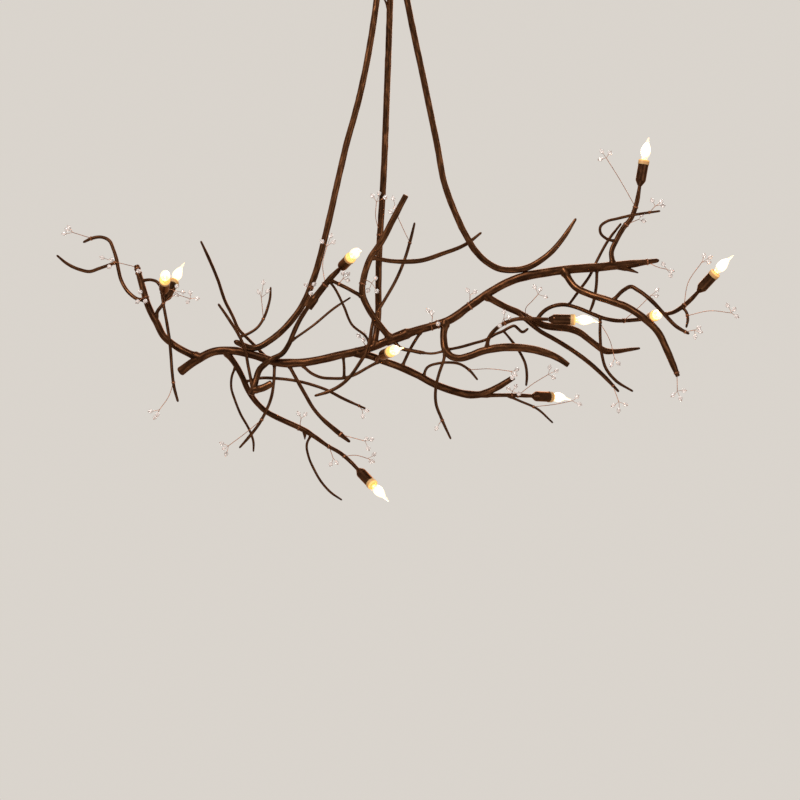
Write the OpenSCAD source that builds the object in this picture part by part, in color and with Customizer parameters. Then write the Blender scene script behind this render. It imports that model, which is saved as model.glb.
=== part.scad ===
// Branch chandelier: forged branches that carry ten candle lamps and wired crystal beads, hung on three
// stems from a round ceiling canopy. Millimetres, +Z up, +X to the right, the front towards -Y.
// The origin is the middle of the mounting bar's top face, in the plane of the ceiling.

/* [Overall size] */
// Length of the tree of branches, from the far left twig to the far right lamp
tree_length = 1690; // [1450:10:2000]
// Depth of the tree, from its front branches to its back ones
tree_depth = 320; // [270:10:400]
// Height of the tree, from its lowest twig to its highest lamp
tree_height = 910; // [780:10:1080]
// Drop from the ceiling to the middle of the trunk
drop = 1000; // [860:10:1600]

/* [Branches] */
// Thickness of the trunk and of the long right limb
trunk_d = 22; // [18:1:26]
// Thickness of the three stems
stem_d = 16; // [13:1:19]
// Thickness of the side limbs
limb_d = 16; // [13:1:19]
// Thickness of the arms that carry lamps
arm_d = 10; // [9:0.5:12]
// Thickness of an arm where a lamp sits on it
arm_tip_d = 9; // [8:0.5:10]
// Thickness of the twigs
twig_d = 8; // [6:0.5:9.5]
// Gap left round a branch where the next one is welded to it
weld_gap = 0.2; // [0.1:0.05:0.3]

/* [Lamps] */
// Diameter of a lamp cup
cup_d = 26; // [24:1:32]
// Height of a lamp cup, from the arm to its open rim
cup_h = 54; // [46:1:64]
// Height of the cone at the foot of a cup
cup_cone_h = 13; // [9:1:16]
// Thickness of the cup's wall
cup_wall = 1.2; // [0.8:0.1:1.5]
// Diameter of the lamp socket inside the cup
socket_d = 20; // [17:0.5:21]
// Height of the socket's collar above the cup
collar_h = 12; // [9:0.5:16]
// How far the collar stands out past the cup
collar_lip = 1; // [0.5:0.1:2]
// Diameter of the hole in the socket, which takes the bulb's screw shell
socket_bore_d = 12.3; // [12.2:0.05:12.6]
// Depth of that hole
socket_bore_depth = 20; // [18:0.5:24]
// Diameter of the bulb's screw shell
bulb_base_d = 11.9; // [11.6:0.1:12]
// Length of the bulb's base, from its insulator to the glass
bulb_base_h = 18; // [17:0.5:22]
// Widest diameter of the bulb's glass
bulb_d = 24; // [18:0.5:29]
// Length of the bulb's glass, without its bent tip
bulb_h = 44; // [38:1:56]
// Diameter of the tube that joins arm, cup and socket
nipple_d = 6; // [5:0.5:7]

/* [Crystal sprigs] */
// Thickness of the copper wire
wire_d = 2; // [1.6:0.1:2.4]
// Diameter of a crystal bead
bead_d = 12; // [9:0.5:13]

/* [Ceiling canopy] */
// Diameter of the canopy
canopy_d = 152; // [130:1:180]
// Depth of the canopy
canopy_h = 34; // [28:1:44]
// Thickness of the canopy's sheet
canopy_wall = 1.2; // [1:0.1:2]
// Distance between the two fixing holes in the mounting bar
fixing_spacing = 88.9; // [80:0.1:100]
// Diameter of a fixing hole
fixing_hole_d = 4.8; // [4:0.1:6]
// Outer diameter of the centre tube
tube_d = 10; // [9:0.5:12]
// Diameter of the hub that holds the stems
hub_d = 84; // [80:1:100]
// Height of the hub
hub_h = 26; // [24:1:32]

/* [Hidden] */
LAMPS = 10;
$fn = 48;

BRONZE = "#4a2c1c";
BROWN = "#5d3722";
COPPER = "#a8623a";
CUP_BROWN = "#33231a";
BRASS = "#c9a24a";
CRYSTAL = "#f1e6df";
GLASS = "#fff1d0";
PORCELAIN = "#e9e4d8";

CLEAR = 0.2; // clearance of a piece that sits in a hole
EPS = 0.01;

// The points of the routes were chosen on a tree of this size
CHOSEN_LENGTH = 1690;
CHOSEN_DEPTH = 320;
CHOSEN_HEIGHT = 910;

// ---- Ceiling pieces, measured down from the ceiling --------------------------------------------
BAR_L = 116;
BAR_W = 22;
BAR_T = 3;
BAR_BOSS_D = 18; // the tapped boss under the bar
BAR_BOSS_H = 7;
NUT_WIDTH = 16;
NUT_H = 4;
RING_D = 28;
RING_H = 7;
ring_z = canopy_h + CLEAR;
hub_z = ring_z + RING_H + CLEAR;
tube_seat = 13; // how far the centre tube goes into the hub
stem_seat = 13; // how far a stem goes into the hub
stem_top = drop - hub_z - hub_h + stem_seat; // the stems' tops, from the middle of the trunk
STRAIGHT = 55; // the stems run straight this far below their tops

// ---- Curves ------------------------------------------------------------------------------------
// A route is a list of [x, y, z, k]: a point, measured from the middle of the trunk, and the share k of
// the full thickness there. Its curve passes through every point.

function xyz(p) = [p[0], p[1], p[2]];
function unit(v) = v / norm(v);
function last(r) = len(r) - 1;
function placed(points) = [for (p = points) [
    p[0] * tree_length / CHOSEN_LENGTH,
    p[1] * tree_depth / CHOSEN_DEPTH,
    p[2] * tree_height / CHOSEN_HEIGHT,
    len(p) > 3 ? p[3] : 1
]];

// Direction of the curve at point i: both chords count, the shorter one more
function heading(r, i) = let (
    a = xyz(i > 0 ? r[i] - r[i - 1] : r[1] - r[0]),
    b = xyz(i < last(r) ? r[i + 1] - r[i] : r[i] - r[i - 1])
) unit(a / (a * a) + b / (b * b));

// Point at t on the curve, where t counts the route's points, and its share of the thickness
function at(r, t) = let (
    i = min(floor(t), len(r) - 2), u = t - i,
    p = xyz(r[i]), q = xyz(r[i + 1]), s = u * u * (3 - 2 * u)
) concat(
    (1 - s) * p + s * q
        + norm(q - p) * u * (1 - u) * ((1 - u) * heading(r, i) - u * heading(r, i + 1)),
    [(1 - s) * r[i][3] + s * r[i + 1][3]]
);

// Direction of the curve at t
function along(r, t) = let (
    i = min(floor(t), len(r) - 2), u = t - i,
    chord = xyz(r[i + 1] - r[i])
) unit(6 * u * (1 - u) * chord
    + norm(chord) * ((1 - u) * (1 - 3 * u) * heading(r, i) + u * (3 * u - 2) * heading(r, i + 1)));

// Where a curve passes nearest to p, and that point with p's own share of the thickness
function nearest(r, p) = let (d = [for (t = [0:0.1:last(r)]) norm(xyz(at(r, t)) - xyz(p))])
    search(min(d), d)[0] / 10;
function snapped(r, p) = concat(xyz(at(r, nearest(r, p))), [p[3]]);

// ---- Branches ----------------------------------------------------------------------------------
// A branch is [route, thickness, sides, rings per point].

function thick(route) = [route, trunk_d, 8, 2];
function stem(route) = [route, stem_d, 8, 2];
function limb(route) = [route, limb_d, 8, 2];
function arm(route) = [route, arm_d, 8, 2];
function twig(route) = [route, twig_d, 6, 1];
function wire(route) = [route, wire_d, 4, 1];

// A route that starts on the centre line of another branch, and one that ends on one
function from(parent, points) = let (r = placed(points))
    concat([snapped(parent[0], r[0])], [for (i = [1:last(r)]) r[i]]);
function onto(r, parent) = concat([for (i = [0:last(r) - 1]) r[i]], [snapped(parent[0], r[last(r)])]);

// Sweep of a polygon along the branch's curve, grown all round by grow. With near, only the stretch of
// two rings on each side of that ring is drawn.
module branch(b, grow = 0, near = undef) {
    route = b[0];
    sides = b[2];
    n = last(route) * b[3];
    centre = [for (j = [0:n]) at(route, j / b[3])];
    dir = [for (j = [0:n]) along(route, j / b[3])];
    start = cross(dir[0], abs(dir[0].y) < 0.9 ? [0, 1, 0] : [1, 0, 0]);
    // each ring's first corner is carried on from the ring before, so that the sides don't wind
    across = [for (j = 0, v = unit(start); j <= n;
        j = j + 1, v = j <= n ? unit(v - (v * dir[j]) * dir[j]) : v) v];
    first = is_undef(near) ? 0 : max(0, near - 2);
    end = is_undef(near) ? n : min(n, near + 2);
    points = [for (j = [first:end]) let (
        shift = j == 0 ? -grow : (j == n ? grow : 0),
        r = centre[j][3] * b[1] / 2 + grow / cos(180 / sides),
        up = cross(dir[j], across[j])
    ) for (s = [0:sides - 1]) xyz(centre[j]) + shift * dir[j]
        + r * (cos(360 * s / sides) * across[j] + sin(360 * s / sides) * up)];
    walls = [for (j = [0:end - first - 1], s = [0:sides - 1]) let (
        a = j * sides + s, c = j * sides + (s + 1) % sides
    ) for (f = [[a, a + sides, c], [c, a + sides, c + sides]]) f];
    translate([0, 0, -drop]) polyhedron(points = points, faces = concat(walls,
        [[for (s = [0:sides - 1]) s]],
        [[for (s = [1:sides]) len(points) - s]]
    ));
}

// A branch coped where it meets the branches it is welded to
module welded(b, parents) {
    difference() {
        branch(b);
        for (p = parents) branch(p, weld_gap);
    }
}

module welded_group(list) {
    for (w = list) welded(w[0], w[1]);
}

// ---- Trunk, limbs and stems --------------------------------------------------------------------

trunk = thick(placed([
    [-528, 25, -80, 1.05], [-485, 15, -50], [-440, 8, -29, 0.94], [-385, 2, -28, 0.9],
    [-340, 0, -38, 0.92], [-275, -6, -57, 0.96], [-225, -8, -57, 0.95], [-125, -6, -38, 0.92],
    [-50, 0, -20, 0.9], [0, 4, 0, 0.95], [35, 6, 10, 0.95]
]));
right_limb = thick(from(trunk, [
    [-12, 3, -6, 0.8], [60, 8, 22, 0.9], [115, 10, 38, 0.92], [148, 10, 50, 0.95], [195, 12, 82, 0.92],
    [242, 12, 115, 0.9], [308, 10, 150, 0.95], [340, 8, 160], [372, 6, 166], [425, 4, 174],
    [518, 6, 182], [598, 12, 190, 0.9], [675, 20, 200, 0.5]
]));
left_limb = limb(from(trunk, [
    [-478, 14, -46, 1.1], [-507, 22, -32, 1.1], [-542, 30, -12, 1.1], [-570, 36, 12, 1.1],
    [-587, 40, 45, 1.1], [-605, 46, 78, 1.1], [-625, 55, 140], [-640, 64, 190, 0.9]
]));

left_stem = stem(concat(
    [[-22, -10, stem_top, 1], [-28, -10, stem_top - STRAIGHT, 1]],
    placed([
        [-75, -10, 612], [-112, -8, 475], [-138, -6, 362], [-162, -5, 258], [-188, -4, 162],
        [-220, -4, 85], [-258, -4, 35], [-298, -4, 0], [-338, -4, -20], [-390, -8, -3, 0.85]
    ])
));
centre_stem = stem(onto(concat(
    [[2, 21, stem_top, 1], [1, 21, stem_top - STRAIGHT, 1]],
    placed([
        [-8, 18, 612], [-18, 18, 375], [-22, 18, 310], [-28, 20, 195], [-29, 20, 120],
        [-30, 16, 55], [-40, 2, -17, 0.95]
    ])
), trunk));
right_stem = stem(concat(
    [[26, -10, stem_top, 1], [35, -10, stem_top - STRAIGHT, 1]],
    placed([
        [92, -8, 612], [120, -6, 475], [135, -4, 395], [160, -2, 325], [188, 0, 265], [212, 2, 225],
        [242, 4, 195], [275, 6, 178], [308, 8, 175], [340, 8, 180], [378, 8, 200, 0.95],
        [408, 8, 225, 0.9], [438, 9, 262, 0.75], [466, 10, 305, 0.45]
    ])
));

front_branch = limb(from(trunk, [
    [2, 4, 0], [-32, -22, 45], [-55, -32, 80], [-69, -36, 118], [-65, -36, 155], [-50, -38, 200],
    [-20, -44, 245], [10, -52, 302], [40, -60, 358, 0.9]
]));
lower_left_limb = limb(from(trunk, [
    [-412, 4, -29, 0.9], [-385, 8, -64, 0.9], [-370, 9, -92, 0.9], [-356, 10, -124, 0.9],
    [-340, 10, -149, 0.85], [-311, 10, -178, 0.85], [-274, 8, -198, 0.85], [-252, 6, -208, 0.85],
    [-210, 2, -228, 0.85], [-188, 0, -242, 0.7], [-155, -2, -265, 0.6], [-125, -4, -282, 0.6],
    [-98, -5, -305, 0.6], [-80, -22, -323, arm_tip_d / limb_d]
]));
lower_right_limb = limb(from(trunk, [
    [-85, -3, -28, 1.1], [-48, 16, -40, 1.1], [-22, 24, -50, 1.1], [20, 32, -65, 1.15],
    [65, 38, -85, 1.15], [110, 42, -109, 1.15], [155, 45, -126, 1.15], [198, 47, -136, 1.25],
    [225, 48, -136, 1.1], [270, 48, -118], [312, 46, -92, 0.85]
]));
drooping_branch = limb(from(right_limb, [
    [138, 10, 46, 1.1], [134, -4, 5, 1.1], [139, -14, -25, 1.15], [151, -19, -40, 1.15],
    [170, -22, -46, 1.15], [198, -26, -40, 1.15], [231, -30, -28, 1.2], [265, -32, -21, 1.25],
    [298, -34, -19, 1.25], [342, -36, -22, 1.25], [385, -38, -32, 1.2], [418, -40, -46],
    [444, -42, -64, 0.8]
]));
upper_fork = limb(from(right_limb, [
    [235, 12, 110], [288, 16, 84], [320, 14, 70], [352, 12, 52], [386, 12, 37, 1.1],
    [420, 12, 32, 1.15], [452, 14, 28, 1.15], [475, 16, 19, 1.1], [498, 18, 2], [516, 20, -12],
    [538, 22, -26], [565, 24, -28, 0.8], [598, 26, -24, 0.6], [628, 28, -20, 0.4]
]));
lower_fork = limb(from(upper_fork, [
    [326, 14, 66, 0.7], [349, -2, 43, 0.7], [375, -8, 22, 0.7], [410, -12, 2, 0.7],
    [452, -14, -24, 0.7], [498, -16, -58, 0.7], [532, -18, -89, 0.65], [571, -20, -130, 0.4]
]));
outer_branch = limb(from(right_limb, [
    [438, 4, 175, 1.1], [462, -16, 132, 1.1], [500, -36, 112, 1.1], [542, -56, 97, 1.1],
    [588, -74, 79, 1.15], [632, -88, 48, 1.15], [661, -94, 18, 1.1], [680, -98, -20, 1.1],
    [697, -100, -60], [710, -102, -92, 0.7]
]));

// The crooked branch doubles back at its foot, where a cut stub is welded across it
crooked_branch = limb(placed([
    [-344, -63, -137, 1.05], [-336, -60, -114], [-331, -54, -95, 0.95], [-325, -42, -76, 0.95],
    [-313, -28, -62, 0.95], [-298, -21, -50, 0.9], [-268, -30, -34, 0.8], [-250, -36, -8, 0.75],
    [-239, -44, 18, 0.75], [-222, -52, 52, 0.7], [-190, -64, 98, 0.6]
]));
crooked_stub = limb(from(crooked_branch, [
    [-339, -62, -127, 0.9], [-315, -60, -120, 1.15], [-292, -58, -108, 1.1]
]));

// ---- Arms of the lamps -------------------------------------------------------------------------
// Each one runs straight into its lamp.

tip = arm_tip_d / arm_d;
hanging_twig = twig(from(left_limb, [
    [-628, 55, 150], [-600, 42, 152], [-586, 34, 147], [-575, 28, 132], [-571, 24, 108],
    [-568, 20, 90], [-558, 12, 38], [-551, 6, -5], [-548, 5, -40], [-545, 4, -80],
    [-540, 4, -118], [-530, 3, -155, 0.8]
]));
upper_front_arm = arm(from(hanging_twig, [
    [-573, 26, 120, 0.8], [-567, 14, 115, 0.8], [-565, -2, 122, tip]
]));
upper_back_arm = arm(from(left_limb, [
    [-589, 40, 50, 0.9], [-585, 39, 72, 0.9], [-573, 43, 89, 0.9], [-568, 52, 101, tip]
]));
crooked_arm = limb(from(crooked_branch, [
    [-204, -58, 78], [-188, -64, 100], [-165, -72, 129], [-148, -78, 150, 0.9],
    [-130, -84, 168, 0.75], [-122, -100, 175, arm_tip_d / limb_d]
]));
middle_arm = arm(from(lower_right_limb, [
    [-38, 20, -44, 0.9], [-34, 0, -52, 0.9], [-29, -40, -43, 0.9], [-21, -60, -40, tip]
]));
lower_back_arm = arm(from(lower_right_limb, [
    [200, 47, -136], [255, 54, -138], [298, 60, -138], [338, 66, -139], [360, 84, -140, tip]
]));
drooping_arm = arm(from(drooping_branch, [
    [240, -31, -26], [245, -40, 2], [265, -48, 28], [288, -54, 42], [312, -58, 50],
    [350, -62, 51], [393, -64, 50, tip]
]));
looped_arm = arm(from(upper_fork, [
    [365, 12, 46], [375, 0, 62], [390, -7, 76], [410, -13, 85], [430, -15, 88], [468, -14, 80],
    [498, -10, 68], [532, -4, 55], [565, 8, 49], [600, 30, 50], [632, 41, 53],
    [649, 37, 55], [651, 21, 56, tip]
]));
top_arm = arm(from(right_limb, [
    [555, 8, 186, 1.3], [555, 14, 222, 1.3], [567, 18, 250, 1.3], [584, 20, 280, 1.3],
    [604, 22, 305, 1.3], [619, 22, 347, 1.2], [626, 22, 387, tip]
]));
arched_twig = twig(from(outer_branch, [
    [553, -60, 92, 1.2], [580, -72, 123, 1.3], [595, -82, 130, 1.3], [612, -92, 121, 1.3],
    [648, -112, 90, 1.3], [678, -119, 57, 1.25], [705, -121, 30, 1.2], [736, -122, 12, 0.9]
]));
far_arm = arm(from(arched_twig, [
    [674, -118, 60, 0.8], [698, -100, 66], [722, -84, 80, 1.1], [746, -72, 100, 1.1],
    [762, -81, 118, tip]
]));

lamp_arms = [
    [upper_front_arm, [hanging_twig]], [upper_back_arm, [left_limb]],
    [middle_arm, [lower_right_limb]], [lower_back_arm, [lower_right_limb]],
    [drooping_arm, [drooping_branch]], [looped_arm, [upper_fork]], [top_arm, [right_limb]],
    [far_arm, [arched_twig]]
];
// The branch that ends in each lamp, and the turn of the bulb's bent tip about the lamp's axis
lamps = [
    [upper_front_arm, 0], [upper_back_arm, -120], [crooked_arm, 0], [lower_left_limb, 60],
    [middle_arm, 90], [lower_back_arm, -60], [drooping_arm, 60], [looped_arm, 0], [top_arm, 75],
    [far_arm, 90]
];

// ---- Twigs -------------------------------------------------------------------------------------

far_left_twig = twig(from(left_limb, [
    [-616, 52, 104, 1.2], [-635, 55, 104, 1.2], [-658, 62, 120, 1.2], [-678, 72, 150, 1.2],
    [-688, 80, 185, 1.2], [-692, 84, 205, 1.2], [-701, 90, 232, 1.1], [-712, 96, 254, 1.1],
    [-732, 102, 263, 1.1], [-755, 106, 261, 1.1], [-780, 110, 250, 0.8]
]));
far_left_fork = twig(from(far_left_twig, [
    [-691, 83, 200], [-735, 70, 182, 1.1], [-758, 62, 174, 1.1], [-780, 55, 178, 1.1],
    [-811, 45, 192], [-838, 35, 214, 0.7]
]));
long_twig = twig(from(trunk, [
    [-300, -4, -50], [-318, 16, -35], [-335, 24, -18], [-355, 26, 2], [-380, 28, 28],
    [-395, 30, 60], [-415, 32, 100], [-432, 34, 150], [-455, 36, 205], [-476, 38, 250, 0.7]
]));
dark_twig = twig(from(crooked_branch, [
    [-339, -61, -122], [-346, -58, -92], [-352, -52, -64], [-360, -46, -24], [-375, -40, 10],
    [-400, -34, 50], [-428, -28, 90, 0.8]
]));
curved_twig = twig(from(dark_twig, [
    [-373, -41, 6, 0.8], [-350, -38, 16, 0.9], [-330, -34, 30, 0.9], [-315, -30, 52, 0.9],
    [-305, -28, 78, 0.9], [-299, -26, 102, 0.8], [-297, -24, 132, 0.6]
]));
outer_hanging_twig = twig(from(lower_left_limb, [
    [-386, 8, -66, 0.8], [-396, 6, -92, 0.8], [-397, 5, -120, 0.8], [-388, 5, -150, 0.8],
    [-374, 6, -185, 0.8], [-352, 8, -225, 0.8], [-342, 10, -255, 0.8], [-342, 12, -280, 0.6]
]));
crossing_twig = twig(from(trunk, [
    [-288, -5, -55], [-290, -16, -105], [-295, -20, -140], [-310, -22, -180], [-328, -22, -212],
    [-348, -20, -238], [-376, -16, -270, 0.7]
]));
level_twig = twig(from(lower_left_limb, [
    [-362, 9, -104, 0.8], [-322, 10, -95], [-285, 10, -96], [-235, 8, -102],
    [-195, 6, -112], [-158, 2, -125], [-120, -2, -145], [-60, -8, -172, 0.7]
]));
club_twig = twig(from(trunk, [
    [-255, -7, -58, 1.1], [-232, -16, -100, 1.2], [-212, -20, -135, 1.2], [-190, -24, -172, 1.2],
    [-175, -26, -190, 1.2],
    [-155, -28, -209, 1.5], [-125, -30, -234, 1.6], [-99, -32, -255, 1]
]));
lowest_twig = twig(from(lower_left_limb, [
    [-197, 1, -236, 0.8], [-208, 4, -260, 0.8], [-204, 8, -291, 0.8], [-191, 10, -322, 0.8],
    [-172, 12, -355, 0.8], [-150, 14, -380, 0.8], [-120, 14, -401, 0.6]
]));
thorn = twig(from(lower_left_limb, [[-213, 2, -227], [-213, 1, -238, 0.9], [-213, 0, -249, 0.4]]));

crescent_twig = twig(from(front_branch, [
    [-48, -39, 203, 1.3], [2, -30, 196, 1.4], [40, -16, 195, 1.5], [80, -2, 199, 1.5],
    [130, 14, 216, 1.4], [192, 28, 242, 1.2], [230, 32, 271, 0.8]
]));
rising_twig = twig(from(front_branch, [
    [-38, -25, 54], [-10, -16, 105], [15, -2, 150], [36, 10, 200], [51, 14, 250], [62, 16, 295, 0.7]
]));
knot_twig = twig(from(front_branch, [
    [-40, -26, 57], [-44, -40, 36, 1.1], [-49, -42, 5, 1.1], [-58, -44, -28, 1.1],
    [-78, -44, -62, 1.1], [-102, -44, -95, 1.1], [-125, -42, -115, 1.1], [-150, -40, -128, 1.1],
    [-188, -36, -140, 0.8]
]));
connecting_twig = twig(onto(from(crooked_arm, [
    [-150, -79, 147, 1.1], [-112, -68, 130, 1.2], [-72, -38, 106, 1.2]
]), front_branch));
slanting_twig = twig(onto(from(crooked_arm, [
    [-152, -78, 145, 0.8], [-139, -80, 130, 0.8], [-115, -70, 84, 0.8], [-95, -50, 38, 0.8],
    [-58, -22, 5, 0.8], [-48, 0, -19, 0.8]
]), trunk));
straight_twig = twig(from(crooked_branch, [
    [-248, -37, -6, 0.8], [-188, -30, 38, 0.8], [-140, -24, 78, 0.8], [-98, -16, 106, 0.6]
]));
loop_twig = twig(onto(from(trunk, [
    [-222, -8, -57], [-195, -2, -84], [-170, 4, -94], [-145, 8, -96], [-115, 12, -95],
    [-92, 16, -88], [-55, 20, -68], [-22, 24, -50]
]), lower_right_limb));
upright_twig = twig(onto(from(trunk, [[-115, -6, -37, 0.9], [-115, 4, -66, 0.9], [-114, 12, -95, 0.9]]),
    loop_twig));
strut_twig = twig(onto(from(right_limb, [[80, 9, 28], [52, 20, -20], [30, 33, -68]]), lower_right_limb));
cut_twig = twig(from(trunk, [
    [6, 4, 2, 1.2], [26, -6, -20, 1.2], [55, -10, -27, 1.2], [79, -12, -32, 1.3]
]));
thin_link = twig(onto(from(cut_twig, [[70, -11, -30, 0.8], [105, -13, -34, 0.8], [139, -14, -28, 0.8]]),
    drooping_branch));
arch_twig = twig(from(lower_right_limb, [
    [82, 40, -93, 0.9], [94, 30, -68, 0.9], [122, 22, -58, 0.9], [148, 16, -56, 0.9],
    [175, 14, -60, 0.9], [195, 14, -72, 0.9], [220, 16, -100, 0.7]
]));
bowed_twig = twig(from(drooping_branch, [
    [139, -14, -26], [134, -18, -50], [122, -20, -85], [114, -20, -122], [115, -18, -160],
    [128, -16, -195], [152, -12, -248, 0.7]
]));
zigzag_twig = twig(from(drooping_branch, [
    [140, -14, -24, 0.9], [175, 0, -18, 0.95], [210, 6, -8, 0.95], [240, 8, 1, 0.95],
    [265, 4, 15, 0.95], [282, 0, 22, 0.95], [298, -4, 31, 0.95], [311, -6, 35, 0.95],
    [320, -6, 28, 0.95], [330, -6, 20, 0.95], [346, -6, 29, 0.8]
]));
dropping_twig = twig(from(zigzag_twig, [
    [284, 0, 23, 0.7], [310, -4, -10, 0.9], [325, -5, -32, 0.9], [338, -6, -60, 0.9],
    [342, -6, -92, 0.9], [340, -6, -115, 0.7]
]));
back_twig = twig(from(lower_back_arm, [
    [293, 60, -138, 0.8], [326, 56, -152, 0.8], [370, 50, -172, 0.8], [410, 44, -208, 0.6]
]));

crossing_back_twig = twig(from(looped_arm, [
    [445, -15, 86, 0.8], [472, 12, 122, 0.9], [503, 30, 165, 0.9], [519, 36, 198, 0.9],
    [549, 42, 252, 0.9], [582, 48, 295, 0.7]
]));
short_back_twig = twig(from(right_limb, [
    [520, 6, 182], [516, 14, 130], [508, 16, 90], [500, 14, 70, 0.8]
]));
swept_twig = twig(from(looped_arm, [
    [526, -6, 58, 0.9], [524, -20, 8], [528, -26, -38], [538, -30, -72], [560, -34, -100],
    [605, -36, -129, 0.7]
]));
curl_twig = twig(from(top_arm, [
    [564, 18, 247, 0.9], [540, 8, 255, 0.9], [526, -2, 268, 0.9], [526, -12, 284, 0.9],
    [540, -18, 295, 0.9], [566, -20, 302, 0.9], [605, -18, 311, 0.9], [675, -10, 322, 0.7]
]));
hook_twig = twig(from(far_arm, [
    [722, -84, 80, 0.8], [732, -90, 66, 0.9], [735, -92, 50, 0.9], [731, -92, 28, 0.7]
]));
spur = twig(from(right_limb, [[560, 10, 183, 1.3], [600, 10, 176, 1.2], [622, 9, 168, 0.5]]));
stem_twig = twig(from(centre_stem, [[-2, 20, 815, 0.6], [-10, 14, 845, 0.6], [-26, 8, 872, 0.4]]));

left_twigs = [
    [hanging_twig, [left_limb]], [far_left_twig, [left_limb]], [far_left_fork, [far_left_twig]],
    [long_twig, [trunk]], [dark_twig, [crooked_branch]], [curved_twig, [dark_twig]],
    [outer_hanging_twig, [lower_left_limb]], [crossing_twig, [trunk]],
    [level_twig, [lower_left_limb]], [club_twig, [trunk]], [lowest_twig, [lower_left_limb]],
    [thorn, [lower_left_limb]]
];
middle_twigs = [
    [crescent_twig, [front_branch]], [rising_twig, [front_branch]], [knot_twig, [front_branch]],
    [connecting_twig, [crooked_arm, front_branch]], [slanting_twig, [crooked_arm, trunk]],
    [straight_twig, [crooked_branch]], [loop_twig, [trunk, lower_right_limb]],
    [upright_twig, [trunk, loop_twig]], [strut_twig, [right_limb, lower_right_limb]],
    [cut_twig, [trunk, right_limb]], [thin_link, [cut_twig, drooping_branch]],
    [arch_twig, [lower_right_limb]], [bowed_twig, [drooping_branch]], [stem_twig, [centre_stem]]
];
right_twigs = [
    [zigzag_twig, [drooping_branch]], [dropping_twig, [zigzag_twig]], [back_twig, [lower_back_arm]],
    [crossing_back_twig, [looped_arm]], [short_back_twig, [right_limb]], [swept_twig, [looped_arm]],
    [curl_twig, [top_arm]], [arched_twig, [outer_branch]], [hook_twig, [far_arm]],
    [spur, [right_limb]]
];

// ---- Crystal sprigs ----------------------------------------------------------------------------
// Each one is [the branch it is twisted on to, the points of its wire, its beads].

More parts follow.
